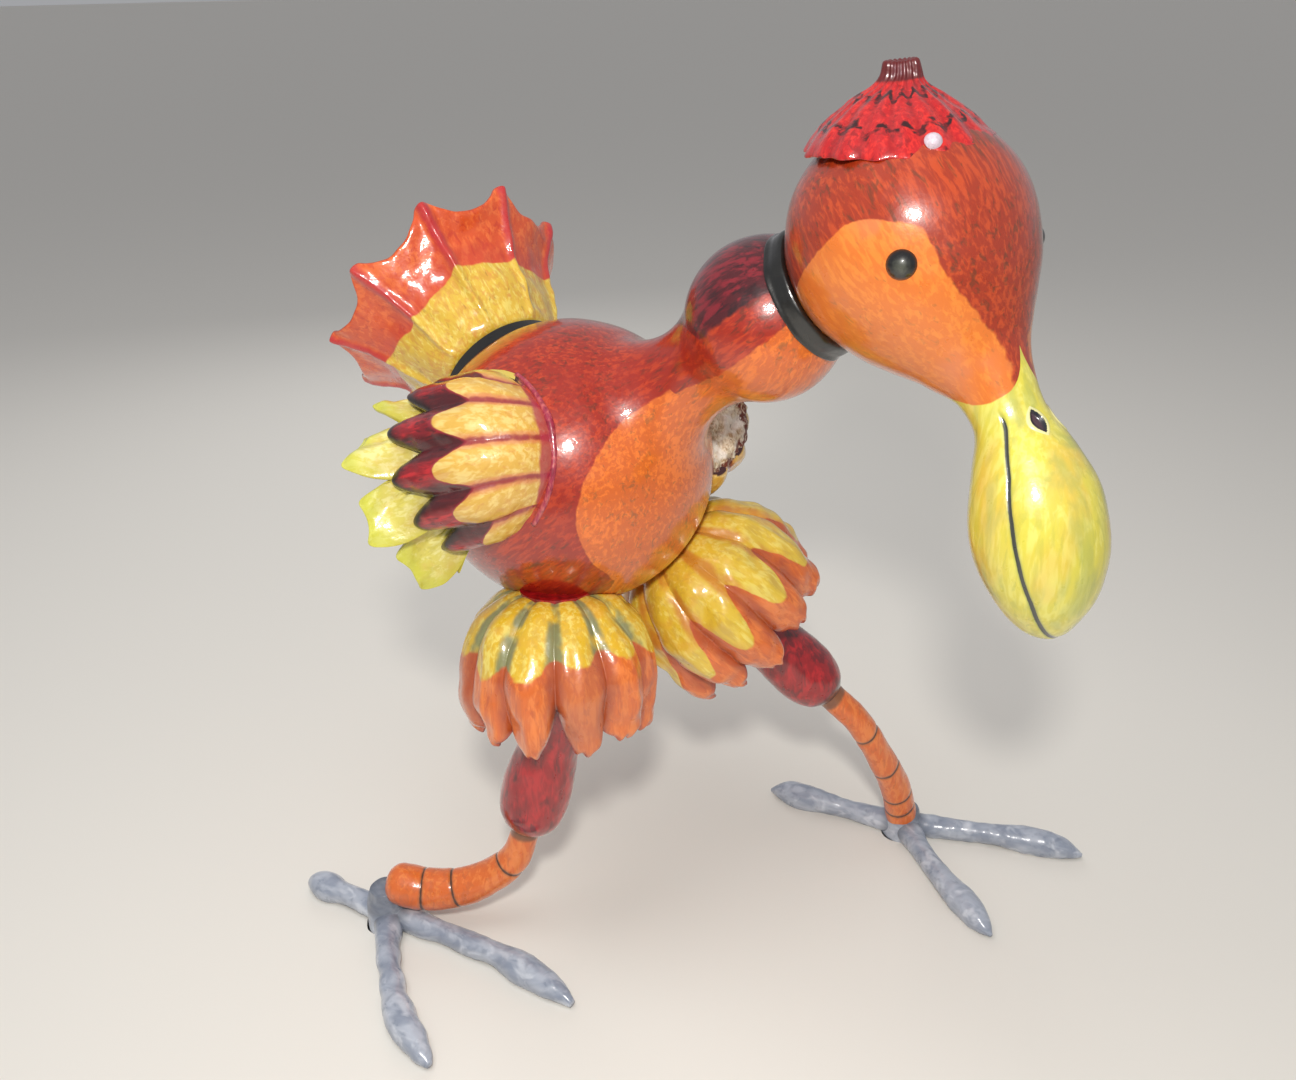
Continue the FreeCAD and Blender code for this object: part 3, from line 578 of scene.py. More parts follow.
def bare_wood():
    """Sanded dowel and plug wood with its grain."""
    paint = Paint("bare_wood", coat=0.0)
    grain = paint.noise(0.9, 3.0, NECK_WAY, 14.0, 0.6, 0.6)
    return paint.finish(paint.mix(paint.step(grain, 0.5, 0.2), "8e6238", "c9a06c"), 0.4, 1.0)


def steel():
    """Plain steel rod and wire."""
    paint = Paint("steel", coat=0.0)
    paint.shader.inputs["Metallic"].default_value = 1.0
    return paint.finish(paint.mix(paint.noise(1.0, 3.0), "7c7c80", "a9a9ad"), 0.2, 0.8)


# ---- body and head ------------------------------------------------------------------------------
def gourd_outline(count):
    """(distance along the axis, radius) of belly, waist and neck bulb."""
    belly = BELLY_R + WAIST_FILLET
    bulb = BULB_R + WAIST_FILLET
    reach = (belly ** 2 - bulb ** 2 + BULB_DISTANCE ** 2) / (2 * BULB_DISTANCE)
    height = math.sqrt(belly ** 2 - reach ** 2)
    belly_angle = math.atan2(height, reach)
    bulb_angle = math.atan2(height, BULB_DISTANCE - reach)
    arcs = [(0, 0, BELLY_R, math.pi, belly_angle),
            (reach, height, WAIST_FILLET, math.pi + belly_angle, 2 * math.pi - bulb_angle),
            (BULB_DISTANCE, 0, BULB_R, math.pi - bulb_angle, 0.1)]
    points = []
    for x, r, radius, start, end in arcs:
        angle = np.linspace(start, end, 400)
        points.append(np.stack([x + radius * np.cos(angle), r + radius * np.sin(angle)], 1))
    points = np.vstack(points)
    run = np.concatenate([[0], np.cumsum(np.linalg.norm(np.diff(points, axis=0), axis=1))])
    even = np.linspace(0, run[-1], count)
    return np.interp(even, run, points[:, 0]), np.maximum(np.interp(even, run, points[:, 1]), 0.05)


BREAST = {"azimuth": FACING, "elevation": -1.0, "wide": 37.5, "tall": 36.0}
STRIPE = [(40, 30), (60, 70), (76, 82), (88, 83), (99, 80), (123, 73), (165, 75), (200, 71)]
MAROON_HALF = 102.5


def body_values(points):
    """How far inside the orange breast and the maroon neck patch each point is, in mm."""
    away = points - BELLY
    along = away @ BULB_WAY
    side = np.cross(BULB_WAY, UP)
    side = unit(side)
    under = np.cross(BULB_WAY, side)
    under = under if under[2] < 0 else -under
    off = away - along[..., None] * BULB_WAY
    radius = np.linalg.norm(off, axis=-1)
    roll = np.degrees(np.arctan2(off @ side, off @ under))
    azimuth = np.degrees(np.arctan2(away[..., 1], away[..., 0])) - BREAST["azimuth"]
    elevation = np.degrees(np.arcsin(away[..., 2] / np.linalg.norm(away, axis=-1))) - BREAST["elevation"]
    oval = 1 - np.sqrt((azimuth / BREAST["wide"]) ** 2 + (elevation / BREAST["tall"]) ** 2)
    oval = np.where(along > 104, -1.0, oval) * 50
    mm_per_degree = radius * math.pi / 180
    half = np.interp(along, *np.array(STRIPE).T)
    stripe = (half - np.abs(roll)) * mm_per_degree
    breast = np.maximum(oval, stripe) + 2.5 * np.exp(-((oval - stripe) / 7) ** 2)
    maroon_edge = MAROON_HALF + 2.4 * np.maximum(0, 141 - along)
    maroon = (np.abs(roll) - maroon_edge) * mm_per_degree
    return {"breast": breast, "maroon": maroon}


def build_body(material):
    rows, around = 330, 420
    x, r = gourd_outline(rows)
    side = unit(np.cross(BULB_WAY, UP))
    under = unit(np.cross(side, BULB_WAY))
    angle = np.linspace(0, 2 * math.pi, around, endpoint=False)
    way = side * np.cos(angle)[:, None] + under * np.sin(angle)[:, None]
    points = BELLY + BULB_WAY * x[:, None, None] + way[None] * r[:, None, None]
    out = points - BELLY
    out /= np.maximum(np.linalg.norm(out, axis=-1), 1)[..., None]
    points = points + out * (0.5 * lumps(points, 55, 3) + 0.25 * lumps(points, 18, 4))[..., None]
    values = body_values(points)
    seat = np.linalg.norm(points - (BELLY + TAIL_WAY * BELLY_R), axis=-1)
    values["seat"] = 1 - smooth_step((seat - 38) / 22)
    body = grid_piece("painted_body_gourd", points, values, loop_v=True)

    def cut_neck(mesh):
        cut = bmesh.ops.bisect_plane(mesh, geom=mesh.verts[:] + mesh.edges[:] + mesh.faces[:], dist=1e-7,
                                     plane_co=NECK_FACE * MM, plane_no=NECK_WAY, clear_outer=True)
        rim = [item for item in cut["geom_cut"] if isinstance(item, bmesh.types.BMEdge)]
        for inward in (7.0, 0.0):
            made = bmesh.ops.extrude_edge_only(mesh, edges=rim)["geom"]
            rim = [item for item in made if isinstance(item, bmesh.types.BMEdge)]
            for vertex in [item for item in made if isinstance(item, bmesh.types.BMVert)]:
                toward = Vector(NECK_FACE * MM) - vertex.co
                vertex.co += toward.normalized() * inward * MM if inward else Vector(NECK_WAY) * (-14 * MM)
    edit(body, cut_neck)
    punch(body, BELLY + TAIL_WAY * BELLY_R, TAIL_WAY * -1, TAIL_PEG_HOLE, 5.0, 12.0)
    return place(body, "figure", "vermilion_gourd", material, "body_gourd")


BEAK_LINE = [(57, -57, 18.5), (66, -69, 16.6), (76, -86, 23.5), (84, -104, 29.5), (90, -121, 30.5),
             (95, -139, 26.5), (98, -154, 18.5), (100, -164, 9.0), (100.6, -168, 0.3)]
HEAD_SHOULDER = [(37, 46.5), (50, 37.5), (63, 27.8)]
MOUTH_AHEAD = 10.0
NOSTRIL = {"forward": 84.0, "right": -4.8, "left": 12.0, "up": -65.5, "half_long": 6.2, "half_wide": 3.1}


def head_stations():
    slope = math.sqrt(0.5)
    stations = []
    for degrees in range(180, 62, -6):
        angle = math.radians(degrees)
        along = HEAD_R * math.cos(angle)
        stations.append((along * slope, -along * slope, max(HEAD_R * math.sin(angle), 0.05)))
    stations += [(along * slope, -along * slope, across) for along, across in HEAD_SHOULDER]
    return stations + BEAK_LINE


def head_values(forward, side, up):
    """Painted areas of the head from its own forward, side and up distances, in mm."""
    centre = np.interp(-up, [-b[1] for b in BEAK_LINE], [b[0] for b in BEAK_LINE])
    above_front = -0.904 * forward - 0.428 * up + 43.6
    above_back = 2.2 + 0.717 * forward - 0.697 * up
    cheek = soft_least(17.8 - up, above_back, above_front, softness=2.6)
    cheek = np.where(forward < -34, -5, cheek)
    turn = np.degrees(np.arctan2(np.abs(side), forward - centre))
    edge = -36 - 27 * (1 - np.exp(-turn / 32))
    beak = np.where(forward > 20, edge - up, -30)
    ahead = forward - centre - MOUTH_AHEAD * (1 - 0.25 * smooth_step((-140 - up) / 25))
    mouth = np.exp(-(ahead / 1.25) ** 2) * smooth_step((-60 - up) / 8) * (forward > 40)
    slant = math.sqrt(0.5)
    forward_off = forward - NOSTRIL["forward"]
    up_off = up - NOSTRIL["up"]
    length = (forward_off - up_off) * slant / NOSTRIL["half_long"]
    width = np.where(side < 2, side - NOSTRIL["right"], side - NOSTRIL["left"]) / NOSTRIL["half_wide"]
    near = (np.abs(forward_off) < 14) & (np.abs(up_off) < 14)
    nostril = np.where(near, 1 - np.abs(width) - length ** 2, -3)
    return {"cheek": cheek, "beak": beak, "mouth": mouth, "nostril": nostril}


def build_head(material):
    rows, around = 420, 330
    line = flowing(head_stations(), rows)
    centre = HEAD + HEAD_OUT * line[:, :1] + UP * line[:, 1:2]
    tangent = np.gradient(centre, axis=0)
    tangent /= np.linalg.norm(tangent, axis=1)[:, None]
    front = np.cross(HEAD_SIDE, tangent)
    angle = np.linspace(0, 2 * math.pi, around, endpoint=False)
    way = front[:, None] * np.cos(angle)[None, :, None] + HEAD_SIDE * np.sin(angle)[None, :, None]
    points = centre[:, None] + way * line[:, 2][:, None, None]
    away = points - HEAD
    values = head_values(away @ HEAD_OUT, away @ HEAD_SIDE, away[..., 2])
    inward = 0.8 * values["mouth"] + 1.4 * smooth_step(values["nostril"] * 1.6)
    inward -= 0.5 * smooth_step((values["nostril"] + 0.7) * 2) * (values["nostril"] < 0.05)
    outward = 0.35 * lumps(points, 40, 11) + 0.15 * lumps(points, 14, 12) - inward
    points = points + way * (outward * smooth_step(line[:, 2] / 8)[:, None])[..., None]
    head = grid_piece("painted_head_gourd", points, values, loop_v=True, flip=True)
    punch(head, HEAD - NECK_WAY * HEAD_R, NECK_WAY, PEG_HOLE, 5.0, 14.0)
    return place(head, "head", "vermilion_gourd", material, "head_gourd")


def turned(name, base, axis, outline, around=96, values=None, uneven=0.0):
    """A turned piece: outline points are (radius, height) above base."""
    outline = np.asarray(outline, float)
    across = unit(np.cross(axis, [0.31, 0.77, 0.12]))
    over = np.cross(axis, across)
    angle = np.linspace(0, 2 * math.pi, around, endpoint=False)
    way = across * np.cos(angle)[:, None] + over * np.sin(angle)[:, None]
    points = base + way[None] * outline[:, :1, None] + np.asarray(axis) * outline[:, 1:, None]
    points = points + way[None] * (uneven * lumps(points, 8, 13))[..., None]
    return grid_piece(name, points, values, loop_v=True)


EYE_ANGLE = 51.5
EYE_R = 7.2
EYE_SUNK = 3.2


def build_eyes(material):
    for sign, name in ((-1, "right_eye"), (1, "left_eye")):
        way = heading(HEAD_YAW + sign * EYE_ANGLE)
        polar = np.linspace(0.01, 2.0, 40)
        outline = np.stack([EYE_R * np.sin(polar), EYE_R * np.cos(polar)], 1)[::-1]
        middle = 1 - outline[:, 0] / EYE_R
        bead = turned("glossy_" + name, HEAD + way * (HEAD_R - EYE_SUNK), way, outline, 64,
                      {"middle": middle[:, None]})
        place(bead, "head", "eye_glass", material, name)


def build_neck_collar(material):
    """Enamelled seat ring with rounded edges; its top follows the head's curve."""
    outer, bore = 32.6, 26.0

    def rise(radius):
        return HEAD_DISTANCE - math.sqrt((HEAD_R + 0.3) ** 2 - radius ** 2) - NECK_CUT
    corners = [(bore, 0.4), (bore, rise(bore) - 1.2), (bore + 1.2, rise(bore + 1.2)),
               (outer - 1.4, rise(outer - 1.4)), (outer, rise(outer) - 1.6), (outer + 0.9, 3.2),
               (outer + 0.9, 0.4), (outer + 1.6, -2.2), (outer, -2.6), (bore, 0.2)]
    outline = flowing(corners, 70)
    ring = turned("enamelled_neck_collar", NECK_FACE, NECK_WAY, outline, 160, uneven=0.45)
    place(ring, "figure", "black_ring", material, "neck_collar")


# ---- crown gourd cups ---------------------------------------------------------------------------
def outline_weights(count, samples):
    """Weights of a closed smooth curve steered by this many points."""
    t = np.arange(samples) * count / samples
    base = np.floor(t).astype(int)
    f = t - base
    parts = [(1 - f) ** 3, 3 * f ** 3 - 6 * f ** 2 + 4, -3 * f ** 3 + 3 * f ** 2 + 3 * f + 1, f ** 3]
    weights = np.zeros((samples, count))
    for k, part in enumerate(parts):
        np.add.at(weights, (np.arange(samples), (base + k - 1) % count), part / 6)
    return weights, t


def inset(outline, wall):
    """Outlines moved inward, towards the axis, by the wall."""
    before = np.concatenate([outline[:, :1], outline[:, :-1]], 1)
    after = np.concatenate([outline[:, 1:], outline[:, -1:]], 1)
    step = after - before
    step /= np.linalg.norm(step, axis=2)[..., None]
    return outline + wall * np.stack([-step[..., 1], step[..., 0]], -1)


def by_finger(place_on_ring, fingers, seed, low, high):
    """A random value for each finger, eased between neighbours."""
    table = np.random.default_rng(seed).uniform(low, high, fingers)
    base = np.floor(place_on_ring).astype(int)
    part = smooth_step(place_on_ring - base)
    return table[base % fingers] * (1 - part) + table[(base + 1) % fingers] * part


# Where along a finger its knob and its waist lie, and how long they are, as shares of the outline.
KNOB_AT = 0.93
KNOB_WIDTH = 0.06
WAIST_AT = 0.55
WAIST_WIDTH = 0.18


class Cup:
    """A ribbed cup cut from a crown gourd, as the grid of points and the values that paint it."""

    def __init__(self, pole, axis, out, ridge, groove, wall, fingers, sweep=360.0, sharpness=1.0,
                 first=0.0, per_finger=44, samples=150, seed=1, uneven=2.5, crest=0.0, crest_width=0.55,
                 tips=0.0, tip_at=0.5):
        self.looped = sweep >= 360
        across = unit(np.cross(axis, out))
        out = unit(np.cross(across, axis))
        steps = int(round(fingers * sweep / 360 * per_finger))
        turn = np.radians(np.linspace(-sweep / 2, sweep / 2, steps, endpoint=not self.looped))
        ring = fingers * (turn - math.radians(first)) / (2 * math.pi)
        phase = 2 * math.pi * (ring - np.round(ring))
        lift = ((0.5 + 0.5 * np.cos(phase)) ** sharpness)[:, None, None]
        ridge = np.asarray(ridge, float)
        groove = np.asarray(groove, float)
        outer = groove + (ridge - groove) * lift
        weights, t = outline_weights(2 * len(ridge), samples)
        inner = inset(outer, wall)
        outline = np.einsum("sp,apk->ask", weights, np.concatenate([outer, inner[:, ::-1]], 1))
        last = len(ridge) - 1
        self.inner_share = np.clip(np.minimum(t - last, 2 * last + 2 - t), 0, 1)
        along = np.where(t <= last, t, np.clip(2 * last + 1 - t, 0, last)) / last
        outer_side = smooth_step((last + 0.5 - t) / 0.5) * smooth_step((len(ridge) * 2 - 0.2 - t) / 0.2)
        along = np.broadcast_to(along, (steps, samples))
        reach = by_finger(ring, fingers, seed, -uneven, uneven)[:, None] * smooth_step(along) ** 2
        outline[..., 1] += reach
        outline[..., 0] += by_finger(ring, fingers, seed + 1, -0.5, 0.5)[:, None] * uneven * along
        rib = np.exp(-(phase / crest_width) ** 2)[:, None] * smooth_step((along - 0.25) * 3)
        outline[..., 0] += crest * rib
        lobes = np.exp(-((np.abs(phase) - tip_at) / (0.2 + 0.2 * tip_at)) ** 2)[:, None]
        outline[..., 1] += tips * lobes * smooth_step((along - 0.86) / 0.14)
        way = out * np.cos(turn)[:, None] + across * np.sin(turn)[:, None]
        self.points = pole + way[:, None] * outline[..., :1] + np.asarray(axis) * outline[..., 1:]
        self.outline = outline
        self.t = t
        self.last = last
        self.turn = turn[:, None]
        self.pole = pole
        self.out = out
        self.across = across
        self.wall = wall
        self.way = way
        self.axis = np.asarray(axis)
        self.ring = ring
        self.phase = phase[:, None]
        self.fingers = fingers
        self.along = along
        self.values = {
            "rim": along,
            "crest": np.exp(-(self.phase / 0.6) ** 2),
            "groove": 0.5 - 0.5 * np.cos(self.phase),
            "inside": 1 - outer_side[None],
            "chance": by_finger(ring, fingers, seed + 2, 0, 1)[:, None],
        }

    def roughen(self, amount, size, seed):
        bump = amount * lumps(self.points, size, seed)
        self.points = self.points + self.way[:, None] * bump[..., None]
        return self

    def front_lip(self, end, round_radius, narrowing):
        """Round the ribs down to the belly side by side, instead of letting them meet at the pole."""
        outer = np.argmin(np.abs(self.t - end * self.last))
        inner = np.argmin(np.abs(self.t - (2 * self.last + 1 - end * self.last)))
        share = self.inner_share[None]
        reach = self.outline[:, outer:outer + 1] * (1 - share[..., None])
        reach = reach + self.outline[:, inner:inner + 1] * share[..., None]
        bend = np.clip(self.along / end, 0, 1) * math.pi / 2
        side = reach[..., 0] * np.sin(self.turn)
        high = reach[..., 0] * np.cos(self.turn)
        back = round_radius - np.sqrt(np.maximum(round_radius ** 2 - side ** 2, 1))
        start = self.wall * share + back
        along = reach[..., 1] - (reach[..., 1] - start) * np.cos(bend)
        low = np.sqrt(np.maximum(BELLY_R ** 2 - side ** 2 - (WING_FRONT + start) ** 2, 1))
        low = low - WING_PLANE - 1.0
        height = low + (high - low) * np.sin(bend)
        side = side * (1 - narrowing * np.cos(bend) ** 2)
        lip = (self.pole + self.out * height[..., None] + self.across * side[..., None]
               + self.axis * along[..., None])
        self.points = np.where((self.along < end)[..., None], lip, self.points)
        return self

    def curl(self, spread, pinch, lean, knob, start, seed):
        """Widen each finger's end, pinch its middle, turn one edge outward and thicken its tip."""
        share = smooth_step((self.along - start) / (1 - start))
        sideways = self.across * np.cos(self.turn) - self.out * np.sin(self.turn)
        table = np.random.default_rng(seed).uniform(-1, 1, 2 * self.fingers)
        own = table[np.round(self.ring).astype(int) % self.fingers][:, None]
        thick = np.exp(-((self.along - KNOB_AT) / KNOB_WIDTH) ** 2) * np.cos(self.phase / 2) ** 2
        turned_up = lean * own * np.sin(self.phase) * share + knob * thick
        waist = np.exp(-((self.along - WAIST_AT) / WAIST_WIDTH) ** 2)
        wide = np.sin(self.phase) * (spread * share - pinch * waist)
        self.points = self.points + sideways[:, None] * wide[..., None]
        self.points = self.points + self.way[:, None] * turned_up[..., None]
        return self

    def bend(self, way, amount, start):
        """Lean the finger ends this far to one side."""
        share = np.clip((self.along - start) / (1 - start), 0, 1) ** 1.6
        self.points = self.points + np.asarray(way) * (amount * share)[..., None]
        return self

    def notch(self, degrees, half_width, depth):
        """Deepen the gap between two fingers."""
        near = np.exp(-((np.degrees(self.turn) - degrees) / half_width) ** 2)
        short = depth * near * smooth_step((self.along - 0.5) / 0.5)
        self.points = self.points - self.axis * short[..., None]
        return self

    def dip(self, edge, drop, uneven, seed):
        """Value 0 on a scalloped line: at edge on the ridges, drop earlier in the grooves."""
        lobe = np.cos(self.phase / 2) ** 2
        chance = by_finger(self.ring, self.fingers, seed, -uneven, uneven)[:, None]
        self.values["dip"] = self.along - (edge - drop * (1 - lobe) ** 1.5 + chance)
        return self

    def sawn(self, depth):
        """Flatten the front onto a plane square to the axis."""
        short = depth + self.wall * self.inner_share - (self.points - self.pole) @ self.axis
        short = np.maximum(short, 0)
        self.points = self.points + self.axis * short[..., None]
        self.values["inside"] = np.maximum(self.values["inside"], short > 0)
        return self

    def outside(self, centre, radius):
        """Push the cup's skin out of a round body that it rests on."""
        self.points = pushed_out(self.points, centre, radius)
        return self

    def mirror(self):
        self.points = mirrored(self.points)
        return self

    def piece(self, name, flip=False):
        return grid_piece(name, self.points, self.values, loop_u=self.looped, loop_v=True, flip=flip,
                          caps=not self.looped)


TAIL_RIDGE = [(9, 0.5), (22, 0.3), (33, -3.5), (40.5, -4), (46, 7), (51, 22), (57, 37), (65, 50), (75, 61),
              (80, 67)]
TAIL_GROOVE = [(9, 0.5), (22, 0.3), (33, -3.5), (40, -4), (45, 7), (49.5, 20), (54, 34), (60, 45), (67, 53),
               (73, 58)]
TAIL_BASE = 84.6


def build_tail(material):
    cup = Cup(BELLY + TAIL_WAY * TAIL_BASE, TAIL_WAY, UP, TAIL_RIDGE, TAIL_GROOVE, 4.0, 9, first=16,
              seed=21, uneven=3.0, sharpness=1.7, crest=3.4, crest_width=0.42, tips=2.2, per_finger=56,
              samples=190)
    cup.roughen(1.1, 15, 22).roughen(0.35, 5, 23).dip(0.64, -0.02, 0.025, 24)
    tail = cup.piece("painted_tail_gourd")
    return place(tail, "tail", "tail_paint", material, "tail_gourd")


WING_AZIMUTH = -95.0
WING_OUT = heading(WING_AZIMUTH, 21.0)
WING_PLANE = 70.0
WING_DROOP = math.radians(21.0)
WING_FRONT = -41.0
WING_LEVEL = heading(WING_AZIMUTH - 90)
WING_DOWN = unit(np.cross(WING_OUT, WING_LEVEL))
WING_WAY = unit(WING_LEVEL * math.cos(WING_DROOP) + WING_DOWN * math.sin(WING_DROOP))
WING_POLE = BELLY + WING_OUT * WING_PLANE + WING_WAY * WING_FRONT
COVER_RIDGE = [(3, 0), (16, 1.5), (30, 6), (40, 14), (46, 28), (48, 45), (49, 61), (48, 76)]
COVER_GROOVE = [(3, 0.5), (15, 2.5), (27, 8), (36, 16), (41, 28), (43, 39), (43, 49), (42, 57)]
FLARE_RIDGE = [(30, 44), (33, 51), (37, 59), (40, 68), (43, 77), (47, 86), (54, 92)]
FLARE_GROOVE = [(29, 44), (30, 48), (31, 52), (32, 56), (34, 60), (36, 64), (38, 67)]
OPEN_FRONT = 11.0
SEAM_RADII = [1.2, 2.0, 2.0, 1.2]
# The right wing's front: share of the outline that is rounded, its radius seen from outside, and how
# much narrower the ribs get.
LIP_SHARE = 0.72
LIP_RADIUS = 62.0
LIP_NARROWING = 0.2


def sagging(points):
    """The left wing, with its shell and flesh turned a little lower round the belly."""
    return pushed_out(turned_down(points, LEFT_WING_SAG), BELLY, BELLY_R)


def build_wings(cover_material, flare_material, flesh_material, seam_material):
    for side in RIGHT_LEFT:
        left = side == "left"
        cover = Cup(WING_POLE, WING_WAY, WING_OUT, COVER_RIDGE, COVER_GROOVE, 3.6, 11, 190, first=20,
                    seed=31, uneven=2.0, sharpness=0.55, per_finger=50, samples=170)
        if left:
            cover.sawn(OPEN_FRONT)
        else:
            cover.front_lip(LIP_SHARE, LIP_RADIUS, LIP_NARROWING)
        cover.roughen(0.4, 12, 32).roughen(0.2, 4, 33).outside(BELLY, BELLY_R)
        cover.dip(0.70, 0.14, 0.015, 34)
        cover.values["front"] = 1 - smooth_step((cover.along - 0.06) / 0.10)
        cover.values["top"] = smooth_step((np.degrees(cover.turn) - 72) / 10)
        flare = Cup(WING_POLE, WING_WAY, WING_OUT, FLARE_RIDGE, FLARE_GROOVE, 3.0, 8, 190, first=22.5,
                    seed=41, uneven=4.0, sharpness=0.4, crest=-3.0, tips=5.0, tip_at=1.1, per_finger=60,
                    samples=150)
        flare.bend(-flare.across, 9.0, 0.45)
        flare.curl(spread=5.0, pinch=4.5, lean=9.0, knob=1.0, start=0.5, seed=44)
        flare.roughen(0.9, 12, 42).roughen(0.25, 5, 43)
        flare.outside(BELLY, BELLY_R)
        if left:
            cover.mirror()
            cover.points = sagging(cover.points)
            flare.mirror()
            flare.points = sagging(flare.points)
        skin = cover.piece("painted_" + side + "_wing_cover", flip=left)
        if left:
            start = mirrored(WING_POLE + WING_WAY * OPEN_FRONT)
            back = mirrored(WING_POLE + WING_WAY) - mirrored(WING_POLE)
            build_flesh(start, back, flesh_material)
        else:
            build_seam(cover.points[6:-6:24, 0], seam_material)
        place(skin, "figure", "wing_cover_paint", cover_material, side + "_wing_cover")
        fan = flare.piece("painted_" + side + "_wing_flare", flip=left)
        place(fan, "figure", "wing_flare_paint", flare_material, side + "_wing_flare")


def build_seam(front, material):
    """Bead of filler along the front edge of the right wing."""
    points, values = limb(front, SEAM_RADII, 180, 18, 0.3, 35, WING_OUT)
    seam = grid_piece("painted_right_wing_seam", points, values, loop_v=True, flip=True, caps=True)
    place(seam, "figure", "crimson_gourd", material, "right_wing_putty")


def build_flesh(start, back, material):
    """Rough dried flesh that shows where the left wing is sawn open."""
    out = mirrored(BELLY + WING_OUT) - BELLY
    across = unit(np.cross(back, out))
    turn = np.radians(np.linspace(-88, 88, 130))[:, None]
    way = out * np.cos(turn)[..., None] + across * np.sin(turn)[..., None]
    girth = np.linspace(0, 2 * math.pi, 60, endpoint=False)[None]
    radius = 22.5 + 12.5 * np.cos(girth)
    depth = 1.0 + 4.5 * np.sin(girth)
    points = start + way * radius[..., None] + back * depth[..., None]
    points = points + back * (1.6 * lumps(points, 7, 51) + 0.8 * lumps(points, 2.5, 52))[..., None]
    points = points + way * (0.9 * lumps(points, 5, 53))[..., None]
    values = {"outer": 0.5 + 0.5 * np.cos(girth)}
    flesh = grid_piece("left_wing_raw_edge", sagging(points), values, loop_v=True, flip=True, caps=True)
    place(flesh, "figure", "dried_glue", material, "left_wing_putty")


RUFF_POLE = {"right": spot(19, -50, 239), "left": spot(40, 33, 239)}
RUFF_WAY = {"right": unit([0.06, -0.11, -1]), "left": unit([0.56, 0.40, -0.72])}
RUFF_SCALE = {"right": 1.0, "left": 1.08}
RUFF_SEED = {"right": 61, "left": 66}
# Gap between two fingers that shows the top of the thigh: degrees, half width, depth.
RUFF_NOTCH = {"right": (-49.0, 9.0, 14.0), "left": (-49.0, 9.0, 0.0)}
# Where the yellow ends: on the ribs, how much earlier in the grooves, and how unevenly.
RUFF_DIP = {"right": (0.53, 0.05, 0.05), "left": (0.74, 0.24, 0.05)}
RUFF_RIDGE = [(9, 1), (22, 0), (38, 6), (50, 20), (57, 40), (57, 60), (53, 74), (46, 82)]
RUFF_GROOVE = [(9, 1.5), (21, 1), (35, 8), (46, 22), (51, 38), (51, 52), (48, 62), (44, 69)]


def build_ruffs(materials):
    for side in RIGHT_LEFT:
        scale = RUFF_SCALE[side]
        way = RUFF_WAY[side]
        cup = Cup(RUFF_POLE[side], way, unit(np.cross(way, heading(FACING))),
                  np.array(RUFF_RIDGE) * scale, np.array(RUFF_GROOVE) * scale, 4.0, 11, sharpness=0.36,
                  seed=RUFF_SEED[side], uneven=4.0, crest=0.8, tips=3.0, per_finger=48, samples=170)
        cup.notch(*RUFF_NOTCH[side])
        cup.curl(spread=1.5, pinch=0.0, lean=4.5, knob=2.2, start=0.55, seed=65)
        cup.roughen(1.4, 14, 62).roughen(0.5, 6, 63).outside(BELLY, BELLY_R)
        cup.dip(*RUFF_DIP[side], 64)
        skin = cup.piece("painted_" + side + "_ruff")
        place(skin, "figure", "ruff_paint", materials[side], side + "_ruff")


HAT_TOP = HEAD + np.array([-9.0, -3.2, 45.5]) + unit([-0.09, -0.05, 0.99]) * 33
HAT_WAY = unit([-0.09, -0.05, 0.99])
HAT_RIDGE = [(4.0, 1.0), (8.0, 0.0), (8.4, 5.0), (9.6, 9.5), (18.0, 14.5), (28.0, 21.0), (36.0, 27.5),
             (43.0, 36.5)]
HAT_GROOVE = [(3.8, 1.5), (7.2, 0.5), (7.4, 5.0), (8.8, 9.7), (17.4, 15.0), (27.4, 21.6), (35.2, 28.4),
              (41.6, 36.0)]
STEM_LEAN = 3.5


def build_hat(material):
    cup = Cup(HAT_TOP, -HAT_WAY, HEAD_OUT, HAT_RIDGE, HAT_GROOVE, 2.6, 18, seed=71, uneven=1.0,
              per_finger=26, samples=150)
    stem = 1 - smooth_step((cup.along - 0.30) / 0.35)
    cup.points = cup.points + unit([0.87, 0.49, 0]) * (STEM_LEAN * stem)[..., None]
    cup.roughen(0.5, 9, 72).roughen(0.25, 3.5, 73).outside(HEAD, HEAD_R)
    cup.values["rings"] = cup.along * 4.0 + 0.10 * np.cos(cup.phase)
    cup.values["stem"] = 1 - smooth_step((cup.along - 0.36) / 0.1)
    place(cup.piece("painted_hat"), "head", "crimson_gourd", material, "hat")


# ---- legs ---------------------------------------------------------------------------------------
HIP = {"right": spot(20.6, -56, 236.2), "left": spot(43.5, 36.3, 233.4)}
KNEE = {"right": spot(1, -70, 78), "left": spot(136, 86, 128)}
THIGH_BEND = {"right": spot(22, -63, 158), "left": spot(96, 67, 170)}
SHANK_LINE = {
    "right": [KNEE["right"], spot(-6, -75, 54), spot(-30, -88, 33), spot(-58, -102, 27),
              spot(-82, -112, 32)],
    "left": [KNEE["left"], spot(154, 97, 104), spot(167, 110, 72), spot(175, 124, 40), spot(179, 131, 14)],
}
SHANK_RADII = {
    "right": [(0, 8.8), (0.2, 9.6), (0.4, 11), (0.6, 12.5), (0.8, 13.4), (0.9, 13.2), (0.95, 12),
              (0.985, 8), (1, 2.5)],
    "left": [(0, 9), (0.4, 9.2), (0.6, 9.8), (0.8, 10.4), (1, 11)],
}
